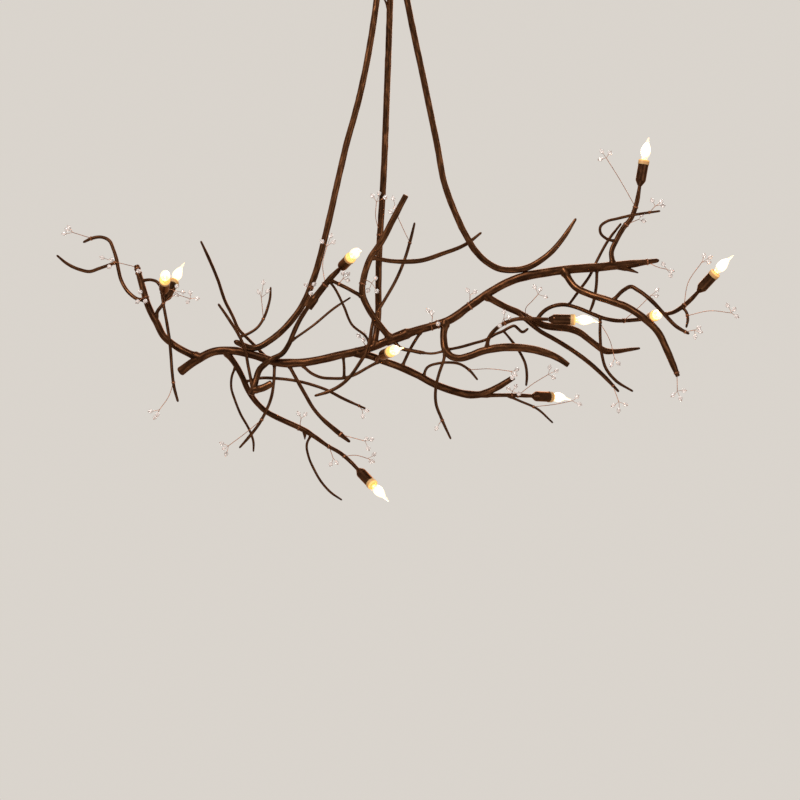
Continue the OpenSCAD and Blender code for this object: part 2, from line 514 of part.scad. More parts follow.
sprigs = [
    [far_left_twig, [[-757, 106, 261], [-805, 100, 275]],
        [[-826, 98, 272], [-815, 104, 288], [-818, 88, 282]]],
    [left_limb, [[-639, 63, 186], [-690, 48, 197]], [[-724, 44, 208], [-706, 42, 185], [-700, 34, 202]]],
    [left_limb, [[-615, 50, 108], [-622, 36, 108]], [[-627, 30, 121], [-634, 32, 97], [-614, 26, 98]]],
    [left_limb, [[-634, 60, 172], [-631, 46, 172]], [[-632, 34, 174]]],
    [hanging_twig, [[-568, 21, 92], [-540, 20, 112], [-500, 18, 104]],
        [[-506, 8, 96], [-484, 16, 104], [-502, 26, 119]]],
    [hanging_twig, [[-575, 28, 130], [-545, 4, 126]], [[-532, -6, 134], [-518, -2, 120], [-534, 8, 114]]],
    [hanging_twig, [[-542, 4, -105], [-553, 2, -140], [-576, -2, -174]],
        [[-598, -4, -178], [-588, 2, -193], [-580, -12, -186]]],
    [crossing_twig, [[-320, -22, -200], [-362, -30, -234], [-402, -32, -264]],
        [[-418, -34, -258], [-408, -28, -284], [-412, -44, -270]]],
    [curved_twig, [[-315, -30, 52], [-320, -34, 105]],
        [[-315, -34, 142], [-326, -38, 118], [-304, -44, 120]]],
    [crooked_arm, [[-160, -74, 134], [-166, -70, 190], [-156, -74, 230]],
        [[-168, -72, 242], [-146, -72, 256], [-140, -80, 240]]],
    [left_stem, [[-200, -4, 130], [-200, -22, 132]], [[-209, -30, 136], [-189, -28, 138], [-197, -26, 116]]],
    [connecting_twig, [[-128, -72, 138], [-116, -76, 150]],
        [[-104, -74, 161], [-116, -66, 164], [-104, -84, 146]]],
    [front_branch, [[-68, -36, 142], [-62, -58, 148], [-45, -60, 140]],
        [[-36, -58, 152], [-33, -54, 120], [-54, -66, 122]]],
    [centre_stem, [[-25, 19, 260], [-36, 6, 310], [-34, 0, 345]],
        [[-28, -4, 366], [-12, -2, 356], [-44, 4, 360]]],
    [rising_twig, [[49, 14, 243], [36, 6, 272], [22, -2, 302]], [[13, -8, 330], [8, 2, 354], [2, 2, 320]]],
    [right_limb, [[118, 10, 39], [118, -6, 39]], [[120, -14, 40]]],
    [right_limb, [[106, 9, 36], [106, 4, 58]], [[105, -4, 68], [95, 6, 74]]],
    [right_limb, [[200, 12, 86], [200, 2, 112]], [[194, -4, 124], [212, -2, 120]]],
    [trunk, [[-58, 0, -21], [-68, -14, -2]], [[-78, -22, 10], [-66, -30, 0], [-64, -14, 16]]],
    [upper_fork, [[338, 13, 60], [340, 4, 80], [356, -2, 98], [370, -6, 114]],
        [[361, -10, 132], [388, -6, 108], [375, -14, 126]]],
    [drooping_arm, [[286, -53, 41], [282, -66, 52]], [[272, -72, 34], [282, -72, 68], [294, -80, 54]]],
    [arch_twig, [[196, 14, -74], [250, 10, -72], [302, 6, -78]],
        [[313, 2, -86], [318, 14, -74], [306, 8, -94]]],
    [lower_back_arm, [[322, 64, -139], [362, 58, -108], [398, 54, -86]],
        [[402, 52, -68], [418, 50, -77], [412, 60, -93]]],
    [lower_back_arm, [[305, 61, -138], [308, 50, -128]], [[298, 44, -122], [316, 44, -116], [324, 42, -134]]],
    [back_twig, [[362, 51, -168], [420, 48, -160], [458, 42, -152]], [[470, 40, -142], [476, 38, -160]]],
    [swept_twig, [[525, -12, 44], [548, -14, 0], [560, -16, -45]], [[552, -20, -62], [570, -14, -58]]],
    [lower_fork, [[556, -19, -114], [570, -24, -154]],
        [[556, -28, -163], [586, -24, -161], [570, -20, -176]]],
    [right_limb, [[645, 17, 196], [672, 8, 182], [692, 4, 177]],
        [[684, 6, 190], [705, 0, 173], [702, 8, 162]]],
    [curl_twig, [[650, -13, 318], [662, -10, 334]], [[655, -10, 348], [676, -14, 345], [682, -2, 336]]],
    [top_arm, [[590, 21, 292], [622, 6, 302]], [[634, 2, 298], [630, 10, 314]]],
    [top_arm, [[612, 22, 336], [574, 14, 405], [541, 8, 456]],
        [[530, 6, 472], [550, 10, 468], [526, 2, 452]]],
    [looped_arm, [[588, 20, 49], [628, 32, 86], [654, 34, 112]],
        [[668, 32, 112], [670, 30, 126], [658, 44, 102]]],
    [far_arm, [[726, -82, 83], [736, -94, 140], [770, -88, 190]],
        [[776, -86, 206], [790, -88, 202], [786, -98, 190]]],
    [hook_twig, [[734, -91, 58], [790, -90, 70], [844, -82, 65]],
        [[835, -78, 84], [857, -80, 57], [850, -90, 74]]],
    [arched_twig, [[728, -122, 17], [748, -118, 22]], [[750, -120, 6], [760, -112, 28], [762, -124, 18]]],
    [outer_branch, [[708, -102, -84], [708, -104, -128]],
        [[697, -106, -138], [716, -102, -146], [724, -106, -127]]],
    [lower_left_limb, [[-115, -5, -290], [-88, -2, -288], [-55, -10, -296]],
        [[-44, -12, -302], [-40, -6, -286], [-48, 2, -304]]],
    [lower_left_limb, [[-152, -2, -267], [-142, 2, -296]], [[-148, 6, -310], [-134, 0, -306]]],
    [lower_left_limb, [[-226, 3, -220], [-222, -6, -196]], [[-228, -10, -184], [-212, -8, -186]]],
    [club_twig, [[-122, -30, -236], [-92, -44, -244], [-62, -42, -252]],
        [[-54, -42, -270], [-46, -38, -248], [-58, -54, -246]]],
    [level_twig, [[-78, -6, -164], [-70, -16, -174]], [[-58, -22, -176], [-68, -14, -190]]],
    [bowed_twig, [[130, -16, -200], [122, -26, -210]], [[116, -32, -220]]]
];

// ---- Branch nodes ------------------------------------------------------------------------------

module trunk() color(BRONZE) branch(trunk);
module right_limb() color(BRONZE) welded(right_limb, [trunk]);
module left_limb() color(BRONZE) welded(left_limb, [trunk]);
module left_stem() color(BROWN) welded(left_stem, [trunk]);
module centre_stem() color(BROWN) welded(centre_stem, [trunk]);
module right_stem() color(BROWN) welded(right_stem, [right_limb]);
module front_branch() color(BROWN) welded(front_branch, [trunk, right_limb]);
module lower_left_limb() color(BRONZE) welded(lower_left_limb, [trunk]);
module lower_right_limb() color(BRONZE) welded(lower_right_limb, [trunk]);
module drooping_branch() color(BROWN) welded(drooping_branch, [right_limb]);
module outer_branch() color(BROWN) welded(outer_branch, [right_limb]);
module forked_branches() color(BRONZE) {
    welded(upper_fork, [right_limb]);
    welded(lower_fork, [upper_fork]);
}
module crooked_branch() color(BROWN) {
    welded(crooked_branch, [trunk]);
    welded(crooked_stub, [crooked_branch]);
    welded(crooked_arm, [crooked_branch]);
}
module lamp_arms() color(BRONZE) welded_group(lamp_arms);
module left_twigs() color(BRONZE) welded_group(left_twigs);
module middle_twigs() color(BROWN) welded_group(middle_twigs);
module right_twigs() color(BRONZE) welded_group(right_twigs);

// ---- Crystal sprigs ----------------------------------------------------------------------------

function sprig_wire(s) = wire(from(s[0], s[1]));
function sprig_end(s) = let (r = sprig_wire(s)[0]) r[last(r)];

// The wire and one spoke for each bead, which ends in the bead's middle. The wire is coped round the near
// stretch of the branch that carries it.
module sprig(s) {
    end = sprig_end(s);
    difference() {
        union() {
            branch(sprig_wire(s));
            for (bead = placed(s[2])) branch(wire([end, bead]));
        }
        branch(s[0], weld_gap, round(nearest(s[0][0], sprig_wire(s)[0][0]) * s[0][3]));
    }
}

// A bead, drilled from the side that its spoke comes from
module bead(middle, from_point) {
    axis = unit(from_point - middle);
    translate(middle - [0, 0, drop]) rotate([0, acos(axis.z), atan2(axis.y, axis.x)]) difference() {
        sphere(d = bead_d);
        translate([0, 0, -wire_d / 2]) cylinder(d = wire_d + 2 * CLEAR, h = bead_d);
    }
}

module sprig_wires() color(COPPER) for (s = sprigs) sprig(s);
module crystal_beads() color(CRYSTAL) for (s = sprigs)
    for (b = placed(s[2])) bead(xyz(b), xyz(sprig_end(s)));

// ---- Lamps -------------------------------------------------------------------------------------
// Each lamp is drawn along its own axis, from the end of its arm outwards.

CUP_FOOT_WALL = 1.5;
CUP_FLOOR = 3;
NIPPLE_BORE = 3;
SOCKET_TAP = 7; // how far the nipple goes into the socket
COLLAR_EDGE = 1.5; // chamfer round the collar's top
CONTACT_H = 0.6;
CONTACT_GAP = 0.3;
BULB_CONTACT_D = 5;
BULB_CONTACT_H = 1.6;
INSULATOR_D = 8;
INSULATOR_H = 3;
GLASS_WALL = 1;
TIP_TILT = 30;
TIP_L = 15;
TIP_END_D = 2;
PART_GAP = 0.1; // between pieces of one bulb
// Outline of the glass: shares of bulb_d and of bulb_h
GLASS_OUTLINE = [
    [0.56, 0], [0.56, 0.06], [0.62, 0.14], [0.77, 0.23], [0.92, 0.34], [1, 0.45], [0.97, 0.56],
    [0.86, 0.69], [0.68, 0.82], [0.46, 0.93], [0.28, 1]
];

socket_z = cup_cone_h + 1.5;
socket_top = cup_h + CLEAR + collar_h;
bore_z = socket_top - socket_bore_depth;
bulb_contact_z = bore_z + CONTACT_H + CONTACT_GAP;
bulb_base_z = bulb_contact_z + BULB_CONTACT_H + PART_GAP;
glass_z = bulb_base_z + bulb_base_h + PART_GAP;

module on_lamp(i) {
    route = lamps[i][0][0];
    axis = heading(route, last(route));
    translate(xyz(route[last(route)]) - [0, 0, drop]) rotate([0, acos(axis.z), atan2(axis.y, axis.x)])
        children();
}

// Ring between two radii
module ring(outer_d, inner_d, h, z = 0) {
    translate([0, 0, z]) difference() {
        cylinder(d = outer_d, h = h);
        translate([0, 0, -1]) cylinder(d = inner_d, h = h + 2);
    }
}

// Spun cup: a foot on the arm, a cone and a straight wall, open at the top
module lamp_cup() {
    foot = arm_tip_d / 2 + CUP_FOOT_WALL;
    hole = nipple_d / 2 + CLEAR;
    inner = cup_d / 2 - cup_wall;
    rotate_extrude() polygon([
        [hole, weld_gap], [foot, weld_gap], [cup_d / 2, cup_cone_h], [cup_d / 2, cup_h],
        [inner, cup_h], [inner, cup_cone_h + cup_wall], [foot, CUP_FLOOR], [hole, CUP_FLOOR]
    ]);
}

module lamp_nipple() {
    ring(nipple_d, NIPPLE_BORE, socket_z + SOCKET_TAP - CLEAR - weld_gap, weld_gap);
}

// Socket: a round body inside the cup and a collar on the cup's rim, bored from below for the nipple and
// from above for the bulb
module lamp_socket() {
    collar = cup_d / 2 + collar_lip;
    hole = nipple_d / 2 + CLEAR;
    rotate_extrude() polygon([
        [hole, socket_z], [socket_d / 2, socket_z], [socket_d / 2, cup_h + CLEAR],
        [collar, cup_h + CLEAR], [collar, socket_top - COLLAR_EDGE], [collar - COLLAR_EDGE, socket_top],
        [socket_bore_d / 2, socket_top], [socket_bore_d / 2, bore_z], [0, bore_z],
        [0, socket_z + SOCKET_TAP], [hole, socket_z + SOCKET_TAP]
    ]);
}

module socket_contact() translate([0, 0, bore_z]) cylinder(d = BULB_CONTACT_D + 1, h = CONTACT_H);

module bulb_contact(i) color(BRASS) on_lamp(i)
    translate([0, 0, bulb_contact_z]) cylinder(d = BULB_CONTACT_D, h = BULB_CONTACT_H);

module bulb_base(i) color(BRASS) on_lamp(i) rotate_extrude() polygon([
    [0, bulb_base_z], [INSULATOR_D / 2, bulb_base_z], [bulb_base_d / 2, bulb_base_z + INSULATOR_H],
    [bulb_base_d / 2, bulb_base_z + bulb_base_h], [0, bulb_base_z + bulb_base_h]
]);

// Blown glass, open at its neck, with a solid tip bent to one side
module bulb_glass(i) {
    outer = [for (p = GLASS_OUTLINE) [p[0] * bulb_d / 2, p[1] * bulb_h]];
    inner = [for (j = [len(outer) - 2:-1:0]) outer[j] - [GLASS_WALL, 0]];
    top = outer[last(outer)];
    color(GLASS) on_lamp(i) translate([0, 0, glass_z]) rotate(lamps[i][1]) {
        rotate_extrude() polygon(concat(outer, [[0, top[1]], [0, inner[0][1]]], inner));
        translate([0, 0, top[1]]) {
            sphere(r = top[0] + CLEAR);
            rotate([0, TIP_TILT, 0]) cylinder(r1 = top[0], r2 = TIP_END_D / 2, h = TIP_L);
        }
    }
}

module lamp_cups() color(CUP_BROWN) for (i = [0:LAMPS - 1]) on_lamp(i) lamp_cup();
module lamp_nipples() color(BRASS) for (i = [0:LAMPS - 1]) on_lamp(i) lamp_nipple();
module lamp_sockets() color(PORCELAIN) for (i = [0:LAMPS - 1]) on_lamp(i) lamp_socket();
module socket_contacts() color(BRASS) for (i = [0:LAMPS - 1]) on_lamp(i) socket_contact();

// ---- Ceiling pieces ----------------------------------------------------------------------------

TUBE_BORE = 6;
HUB_EDGE = 5; // rounding of the hub's rim
CANOPY_RIM = 3; // height of the canopy's straight rim

// Strap with a tapped boss in its middle and a hole for a fixing screw near each end
module mounting_bar() color(BRASS) difference() {
    union() {
        translate([-BAR_L / 2, -BAR_W / 2, -BAR_T]) cube([BAR_L, BAR_W, BAR_T]);
        translate([0, 0, -BAR_T - BAR_BOSS_H]) cylinder(d = BAR_BOSS_D, h = BAR_BOSS_H + EPS);
    }
    translate([0, 0, -BAR_T - BAR_BOSS_H - 1]) cylinder(d = tube_d + CLEAR, h = BAR_T + BAR_BOSS_H + 2);
    for (x = [-1, 1] * fixing_spacing / 2)
        translate([x, 0, -BAR_T - 1]) cylinder(d = fixing_hole_d, h = BAR_T + 2);
}

module centre_tube() color(BRASS)
    ring(tube_d, TUBE_BORE, hub_z + tube_seat - CLEAR - 1, -hub_z - tube_seat + CLEAR);

module tube_nut() color(BRASS) translate([0, 0, -BAR_T - BAR_BOSS_H - NUT_H]) difference() {
    cylinder(d = NUT_WIDTH / cos(30), h = NUT_H, $fn = 6);
    translate([0, 0, -1]) cylinder(d = tube_d + CLEAR, h = NUT_H + 2);
}

// Spun dome with a straight rim at the ceiling and a flat middle round the centre tube
module canopy() {
    function dome(r, h) = [for (a = [0:10:80]) [r * cos(a), -CANOPY_RIM - (h - CANOPY_RIM) * sin(a)]];
    hole = tube_d / 2 + CLEAR;
    r = canopy_d / 2;
    color(BRONZE) rotate_extrude() polygon(concat(
        [[r, 0]], dome(r, canopy_h), [[RING_D / 3, -canopy_h], [hole, -canopy_h]],
        [[hole, canopy_wall - canopy_h], [RING_D / 3, canopy_wall - canopy_h]],
        [for (j = [8:-1:0]) dome(r - canopy_wall, canopy_h - canopy_wall)[j]], [[r - canopy_wall, 0]]
    ));
}

// Threaded ring that holds the canopy up against the ceiling
module canopy_ring() color(BRONZE) translate([0, 0, -ring_z - RING_H]) difference() {
    union() {
        cylinder(d = RING_D, h = RING_H - 2);
        translate([0, 0, RING_H - 2 - EPS]) cylinder(d1 = RING_D, d2 = RING_D - 4, h = 2);
    }
    translate([0, 0, -1]) cylinder(d = tube_d + CLEAR, h = RING_H + 2);
}

// Hub: bored from above for the centre tube and from below, along each stem, for the stems
module stem_hub() color(BRONZE) difference() {
    translate([0, 0, -hub_z - hub_h]) rotate_extrude() polygon([
        [0, 0], [hub_d / 2 - HUB_EDGE, 0], [hub_d / 2, HUB_EDGE], [hub_d / 2, hub_h - HUB_EDGE],
        [hub_d / 2 - 2 * HUB_EDGE, hub_h], [0, hub_h]
    ]);
    translate([0, 0, -hub_z - tube_seat]) cylinder(d = tube_d + CLEAR, h = tube_seat + 1);
    for (s = [left_stem, centre_stem, right_stem]) {
        axis = heading(s[0], 0);
        translate(xyz(s[0][0]) - CLEAR * axis - [0, 0, drop])
            rotate([0, acos(axis.z), atan2(axis.y, axis.x)])
                cylinder(d = stem_d + 2 * CLEAR, h = stem_seat + hub_h);
    }
}

mounting_bar();
centre_tube();
tube_nut();
canopy();
canopy_ring();
stem_hub();
left_stem();
centre_stem();
right_stem();
trunk();
right_limb();
left_limb();
crooked_branch();
front_branch();
lower_left_limb();
lower_right_limb();
drooping_branch();
forked_branches();
outer_branch();
lamp_arms();
left_twigs();
middle_twigs();
right_twigs();
lamp_cups();
lamp_nipples();
lamp_sockets();
socket_contacts();
sprig_wires();
crystal_beads();
for (i = [1:LAMPS]) {
    bulb_glass(i - 1);
    bulb_base(i - 1);
    bulb_contact(i - 1);
}
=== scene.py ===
"""Looks of the branch chandelier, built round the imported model: forged branches with a skin of worn bark,
lamp cups with lit bulbs, twisted wire with cut beads, and the turned pieces at the ceiling. Metres, +Z up,
the front towards -Y, the origin at the ceiling. Routes and profiles are in millimetres."""

import bpy
import numpy as np
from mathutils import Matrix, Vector


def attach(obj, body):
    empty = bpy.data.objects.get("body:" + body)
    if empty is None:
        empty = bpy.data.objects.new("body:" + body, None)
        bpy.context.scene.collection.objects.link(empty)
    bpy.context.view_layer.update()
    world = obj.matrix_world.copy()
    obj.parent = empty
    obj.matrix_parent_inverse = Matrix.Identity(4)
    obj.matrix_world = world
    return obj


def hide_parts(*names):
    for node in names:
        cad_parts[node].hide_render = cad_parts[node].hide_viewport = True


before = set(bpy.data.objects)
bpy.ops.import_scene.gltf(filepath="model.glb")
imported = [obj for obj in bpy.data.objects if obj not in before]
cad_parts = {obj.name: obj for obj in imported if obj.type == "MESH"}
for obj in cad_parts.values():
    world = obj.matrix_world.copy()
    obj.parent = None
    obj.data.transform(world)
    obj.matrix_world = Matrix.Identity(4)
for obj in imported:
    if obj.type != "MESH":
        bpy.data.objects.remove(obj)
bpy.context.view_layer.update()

MM = 0.001
DROP = 1000  # from the ceiling down to the middle of the trunk, from which the routes are measured
TREE = "tree"

# Thicknesses of the branches
THICK, STEM, LIMB, ARM, TWIG = 22, 16, 16, 10, 8

# Each branch: its thickness, the branches that its first and last points are snapped on to, and its
# points, (x, y, z) and the share of the full thickness there
BRANCHES = {
    "trunk": (THICK, None, None, [
        (-528, 25, -80, 1.05), (-485, 15, -50), (-440, 8, -29, .94), (-385, 2, -28, .9),
        (-340, 0, -38, .92), (-275, -6, -57, .96), (-225, -8, -57, .95), (-125, -6, -38, .92),
        (-50, 0, -20, .9), (0, 4, 0, .95), (35, 6, 10, .95),
    ]),
    "right_limb": (THICK, "trunk", None, [
        (-12, 3, -6, .8), (60, 8, 22, .9), (115, 10, 38, .92), (148, 10, 50, .95),
        (195, 12, 82, .92), (242, 12, 115, .9), (308, 10, 150, .95), (340, 8, 160), (372, 6, 166),
        (425, 4, 174), (518, 6, 182), (598, 12, 190, .9), (675, 20, 200, .5),
    ]),
    "left_limb": (LIMB, "trunk", None, [
        (-478, 14, -46, 1.1), (-507, 22, -32, 1.1), (-542, 30, -12, 1.1), (-570, 36, 12, 1.1),
        (-587, 40, 45, 1.1), (-605, 46, 78, 1.1), (-625, 55, 140), (-640, 64, 190, .9),
    ]),
    "left_stem": (STEM, None, None, [
        (-22, -10, 945.6, 1), (-28, -10, 890.6, 1), (-75, -10, 612), (-112, -8, 475),
        (-138, -6, 362), (-162, -5, 258), (-188, -4, 162), (-220, -4, 85), (-258, -4, 35),
        (-298, -4, 0), (-338, -4, -20), (-390, -8, -3, .85),
    ]),
    "centre_stem": (STEM, None, "trunk", [
        (2, 21, 945.6, 1), (1, 21, 890.6, 1), (-8, 18, 612), (-18, 18, 375), (-22, 18, 310),
        (-28, 20, 195), (-29, 20, 120), (-30, 16, 55), (-40, 2, -17, .95),
    ]),
    "right_stem": (STEM, None, None, [
        (26, -10, 945.6, 1), (35, -10, 890.6, 1), (92, -8, 612), (120, -6, 475), (135, -4, 395),
        (160, -2, 325), (188, 0, 265), (212, 2, 225), (242, 4, 195), (275, 6, 178), (308, 8, 175),
        (340, 8, 180), (378, 8, 200, .95), (408, 8, 225, .9), (438, 9, 262, .75),
        (466, 10, 305, .45),
    ]),
    "front_branch": (LIMB, "trunk", None, [
        (2, 4, 0), (-32, -22, 45), (-55, -32, 80), (-69, -36, 118), (-65, -36, 155),
        (-50, -38, 200), (-20, -44, 245), (10, -52, 302), (40, -60, 358, .9),
    ]),
    "lower_left_limb": (LIMB, "trunk", None, [
        (-412, 4, -29, .9), (-385, 8, -64, .9), (-370, 9, -92, .9), (-356, 10, -124, .9),
        (-340, 10, -149, .85), (-311, 10, -178, .85), (-274, 8, -198, .85), (-252, 6, -208, .85),
        (-210, 2, -228, .85), (-188, 0, -242, .7), (-155, -2, -265, .6), (-125, -4, -282, .6),
        (-98, -5, -305, .6), (-80, -22, -323, .5625),
    ]),
    "lower_right_limb": (LIMB, "trunk", None, [
        (-85, -3, -28, 1.1), (-48, 16, -40, 1.1), (-22, 24, -50, 1.1), (20, 32, -65, 1.15),
        (65, 38, -85, 1.15), (110, 42, -109, 1.15), (155, 45, -126, 1.15), (198, 47, -136, 1.25),
        (225, 48, -136, 1.1), (270, 48, -118), (312, 46, -92, .85),
    ]),
    "drooping_branch": (LIMB, "right_limb", None, [
        (138, 10, 46, 1.1), (134, -4, 5, 1.1), (139, -14, -25, 1.15), (151, -19, -40, 1.15),
        (170, -22, -46, 1.15), (198, -26, -40, 1.15), (231, -30, -28, 1.2), (265, -32, -21, 1.25),
        (298, -34, -19, 1.25), (342, -36, -22, 1.25), (385, -38, -32, 1.2), (418, -40, -46),
        (444, -42, -64, .8),
    ]),
    "upper_fork": (LIMB, "right_limb", None, [
        (235, 12, 110), (288, 16, 84), (320, 14, 70), (352, 12, 52), (386, 12, 37, 1.1),
        (420, 12, 32, 1.15), (452, 14, 28, 1.15), (475, 16, 19, 1.1), (498, 18, 2), (516, 20, -12),
        (538, 22, -26), (565, 24, -28, .8), (598, 26, -24, .6), (628, 28, -20, .4),
    ]),
    "lower_fork": (LIMB, "upper_fork", None, [
        (326, 14, 66, .7), (349, -2, 43, .7), (375, -8, 22, .7), (410, -12, 2, .7),
        (452, -14, -24, .7), (498, -16, -58, .7), (532, -18, -89, .65), (571, -20, -130, .4),
    ]),
    "outer_branch": (LIMB, "right_limb", None, [
        (438, 4, 175, 1.1), (462, -16, 132, 1.1), (500, -36, 112, 1.1), (542, -56, 97, 1.1),
        (588, -74, 79, 1.15), (632, -88, 48, 1.15), (661, -94, 18, 1.1), (680, -98, -20, 1.1),
        (697, -100, -60), (710, -102, -92, .7),
    ]),
    "crooked_branch": (LIMB, None, None, [
        (-344, -63, -137, 1.05), (-336, -60, -114), (-331, -54, -95, .95), (-325, -42, -76, .95),
        (-313, -28, -62, .95), (-298, -21, -50, .9), (-268, -30, -34, .8), (-250, -36, -8, .75),
        (-239, -44, 18, .75), (-222, -52, 52, .7), (-190, -64, 98, .6),
    ]),
    "crooked_stub": (LIMB, "crooked_branch", None, [
        (-339, -62, -127, .9), (-315, -60, -120, 1.15), (-292, -58, -108, 1.1),
    ]),
    "hanging_twig": (TWIG, "left_limb", None, [
        (-628, 55, 150), (-600, 42, 152), (-586, 34, 147), (-575, 28, 132), (-571, 24, 108),
        (-568, 20, 90), (-558, 12, 38), (-551, 6, -5), (-548, 5, -40), (-545, 4, -80),
        (-540, 4, -118), (-530, 3, -155, .8),
    ]),
    "upper_front_arm": (ARM, "hanging_twig", None, [
        (-573, 26, 120, .8), (-567, 14, 115, .8), (-565, -2, 122, .9),
    ]),
    "upper_back_arm": (ARM, "left_limb", None, [
        (-589, 40, 50, .9), (-585, 39, 72, .9), (-573, 43, 89, .9), (-568, 52, 101, .9),
    ]),
    "crooked_arm": (LIMB, "crooked_branch", None, [
        (-204, -58, 78), (-188, -64, 100), (-165, -72, 129), (-148, -78, 150, .9),
        (-130, -84, 168, .75), (-122, -100, 175, .5625),
    ]),
    "middle_arm": (ARM, "lower_right_limb", None, [
        (-38, 20, -44, .9), (-34, 0, -52, .9), (-29, -40, -43, .9), (-21, -60, -40, .9),
    ]),
    "lower_back_arm": (ARM, "lower_right_limb", None, [
        (200, 47, -136), (255, 54, -138), (298, 60, -138), (338, 66, -139), (360, 84, -140, .9),
    ]),
    "drooping_arm": (ARM, "drooping_branch", None, [
        (240, -31, -26), (245, -40, 2), (265, -48, 28), (288, -54, 42), (312, -58, 50),
        (350, -62, 51), (393, -64, 50, .9),
    ]),
    "looped_arm": (ARM, "upper_fork", None, [
        (365, 12, 46), (375, 0, 62), (390, -7, 76), (410, -13, 85), (430, -15, 88), (468, -14, 80),
        (498, -10, 68), (532, -4, 55), (565, 8, 49), (600, 30, 50), (632, 41, 53), (649, 37, 55),
        (651, 21, 56, .9),
    ]),
    "top_arm": (ARM, "right_limb", None, [
        (555, 8, 186, 1.3), (555, 14, 222, 1.3), (567, 18, 250, 1.3), (584, 20, 280, 1.3),
        (604, 22, 305, 1.3), (619, 22, 347, 1.2), (626, 22, 387, .9),
    ]),
    "arched_twig": (TWIG, "outer_branch", None, [
        (553, -60, 92, 1.2), (580, -72, 123, 1.3), (595, -82, 130, 1.3), (612, -92, 121, 1.3),
        (648, -112, 90, 1.3), (678, -119, 57, 1.25), (705, -121, 30, 1.2), (736, -122, 12, .9),
    ]),
    "far_arm": (ARM, "arched_twig", None, [
        (674, -118, 60, .8), (698, -100, 66), (722, -84, 80, 1.1), (746, -72, 100, 1.1),
        (762, -81, 118, .9),
    ]),
    "far_left_twig": (TWIG, "left_limb", None, [
        (-616, 52, 104, 1.2), (-635, 55, 104, 1.2), (-658, 62, 120, 1.2), (-678, 72, 150, 1.2),
        (-688, 80, 185, 1.2), (-692, 84, 205, 1.2), (-701, 90, 232, 1.1), (-712, 96, 254, 1.1),
        (-732, 102, 263, 1.1), (-755, 106, 261, 1.1), (-780, 110, 250, .8),
    ]),
    "far_left_fork": (TWIG, "far_left_twig", None, [
        (-691, 83, 200), (-735, 70, 182, 1.1), (-758, 62, 174, 1.1), (-780, 55, 178, 1.1),
        (-811, 45, 192), (-838, 35, 214, .7),
    ]),
    "long_twig": (TWIG, "trunk", None, [
        (-300, -4, -50), (-318, 16, -35), (-335, 24, -18), (-355, 26, 2), (-380, 28, 28),
        (-395, 30, 60), (-415, 32, 100), (-432, 34, 150), (-455, 36, 205), (-476, 38, 250, .7),
    ]),
    "dark_twig": (TWIG, "crooked_branch", None, [
        (-339, -61, -122), (-346, -58, -92), (-352, -52, -64), (-360, -46, -24), (-375, -40, 10),
        (-400, -34, 50), (-428, -28, 90, .8),
    ]),
    "curved_twig": (TWIG, "dark_twig", None, [
        (-373, -41, 6, .8), (-350, -38, 16, .9), (-330, -34, 30, .9), (-315, -30, 52, .9),
        (-305, -28, 78, .9), (-299, -26, 102, .8), (-297, -24, 132, .6),
    ]),
    "outer_hanging_twig": (TWIG, "lower_left_limb", None, [
        (-386, 8, -66, .8), (-396, 6, -92, .8), (-397, 5, -120, .8), (-388, 5, -150, .8),
        (-374, 6, -185, .8), (-352, 8, -225, .8), (-342, 10, -255, .8), (-342, 12, -280, .6),
    ]),
    "crossing_twig": (TWIG, "trunk", None, [
        (-288, -5, -55), (-290, -16, -105), (-295, -20, -140), (-310, -22, -180), (-328, -22, -212),
        (-348, -20, -238), (-376, -16, -270, .7),
    ]),
    "level_twig": (TWIG, "lower_left_limb", None, [
        (-362, 9, -104, .8), (-322, 10, -95), (-285, 10, -96), (-235, 8, -102), (-195, 6, -112),
        (-158, 2, -125), (-120, -2, -145), (-60, -8, -172, .7),
    ]),
    "club_twig": (TWIG, "trunk", None, [
        (-255, -7, -58, 1.1), (-232, -16, -100, 1.2), (-212, -20, -135, 1.2),
        (-190, -24, -172, 1.2), (-175, -26, -190, 1.2), (-155, -28, -209, 1.5),
        (-125, -30, -234, 1.6), (-99, -32, -255, 1),
    ]),
    "lowest_twig": (TWIG, "lower_left_limb", None, [
        (-197, 1, -236, .8), (-208, 4, -260, .8), (-204, 8, -291, .8), (-191, 10, -322, .8),
        (-172, 12, -355, .8), (-150, 14, -380, .8), (-120, 14, -401, .6),
    ]),
    "thorn": (TWIG, "lower_left_limb", None, [
        (-213, 2, -227), (-213, 1, -238, .9), (-213, 0, -249, .4),
    ]),
    "crescent_twig": (TWIG, "front_branch", None, [
        (-48, -39, 203, 1.3), (2, -30, 196, 1.4), (40, -16, 195, 1.5), (80, -2, 199, 1.5),
        (130, 14, 216, 1.4), (192, 28, 242, 1.2), (230, 32, 271, .8),
    ]),
    "rising_twig": (TWIG, "front_branch", None, [
        (-38, -25, 54), (-10, -16, 105), (15, -2, 150), (36, 10, 200), (51, 14, 250),
        (62, 16, 295, .7),
    ]),
    "knot_twig": (TWIG, "front_branch", None, [
        (-40, -26, 57), (-44, -40, 36, 1.1), (-49, -42, 5, 1.1), (-58, -44, -28, 1.1),
        (-78, -44, -62, 1.1), (-102, -44, -95, 1.1), (-125, -42, -115, 1.1), (-150, -40, -128, 1.1),
        (-188, -36, -140, .8),
    ]),
    "connecting_twig": (TWIG, "crooked_arm", "front_branch", [
        (-150, -79, 147, 1.1), (-112, -68, 130, 1.2), (-72, -38, 106, 1.2),
    ]),
    "slanting_twig": (TWIG, "crooked_arm", "trunk", [
        (-152, -78, 145, .8), (-139, -80, 130, .8), (-115, -70, 84, .8), (-95, -50, 38, .8),
        (-58, -22, 5, .8), (-48, 0, -19, .8),
    ]),
    "straight_twig": (TWIG, "crooked_branch", None, [
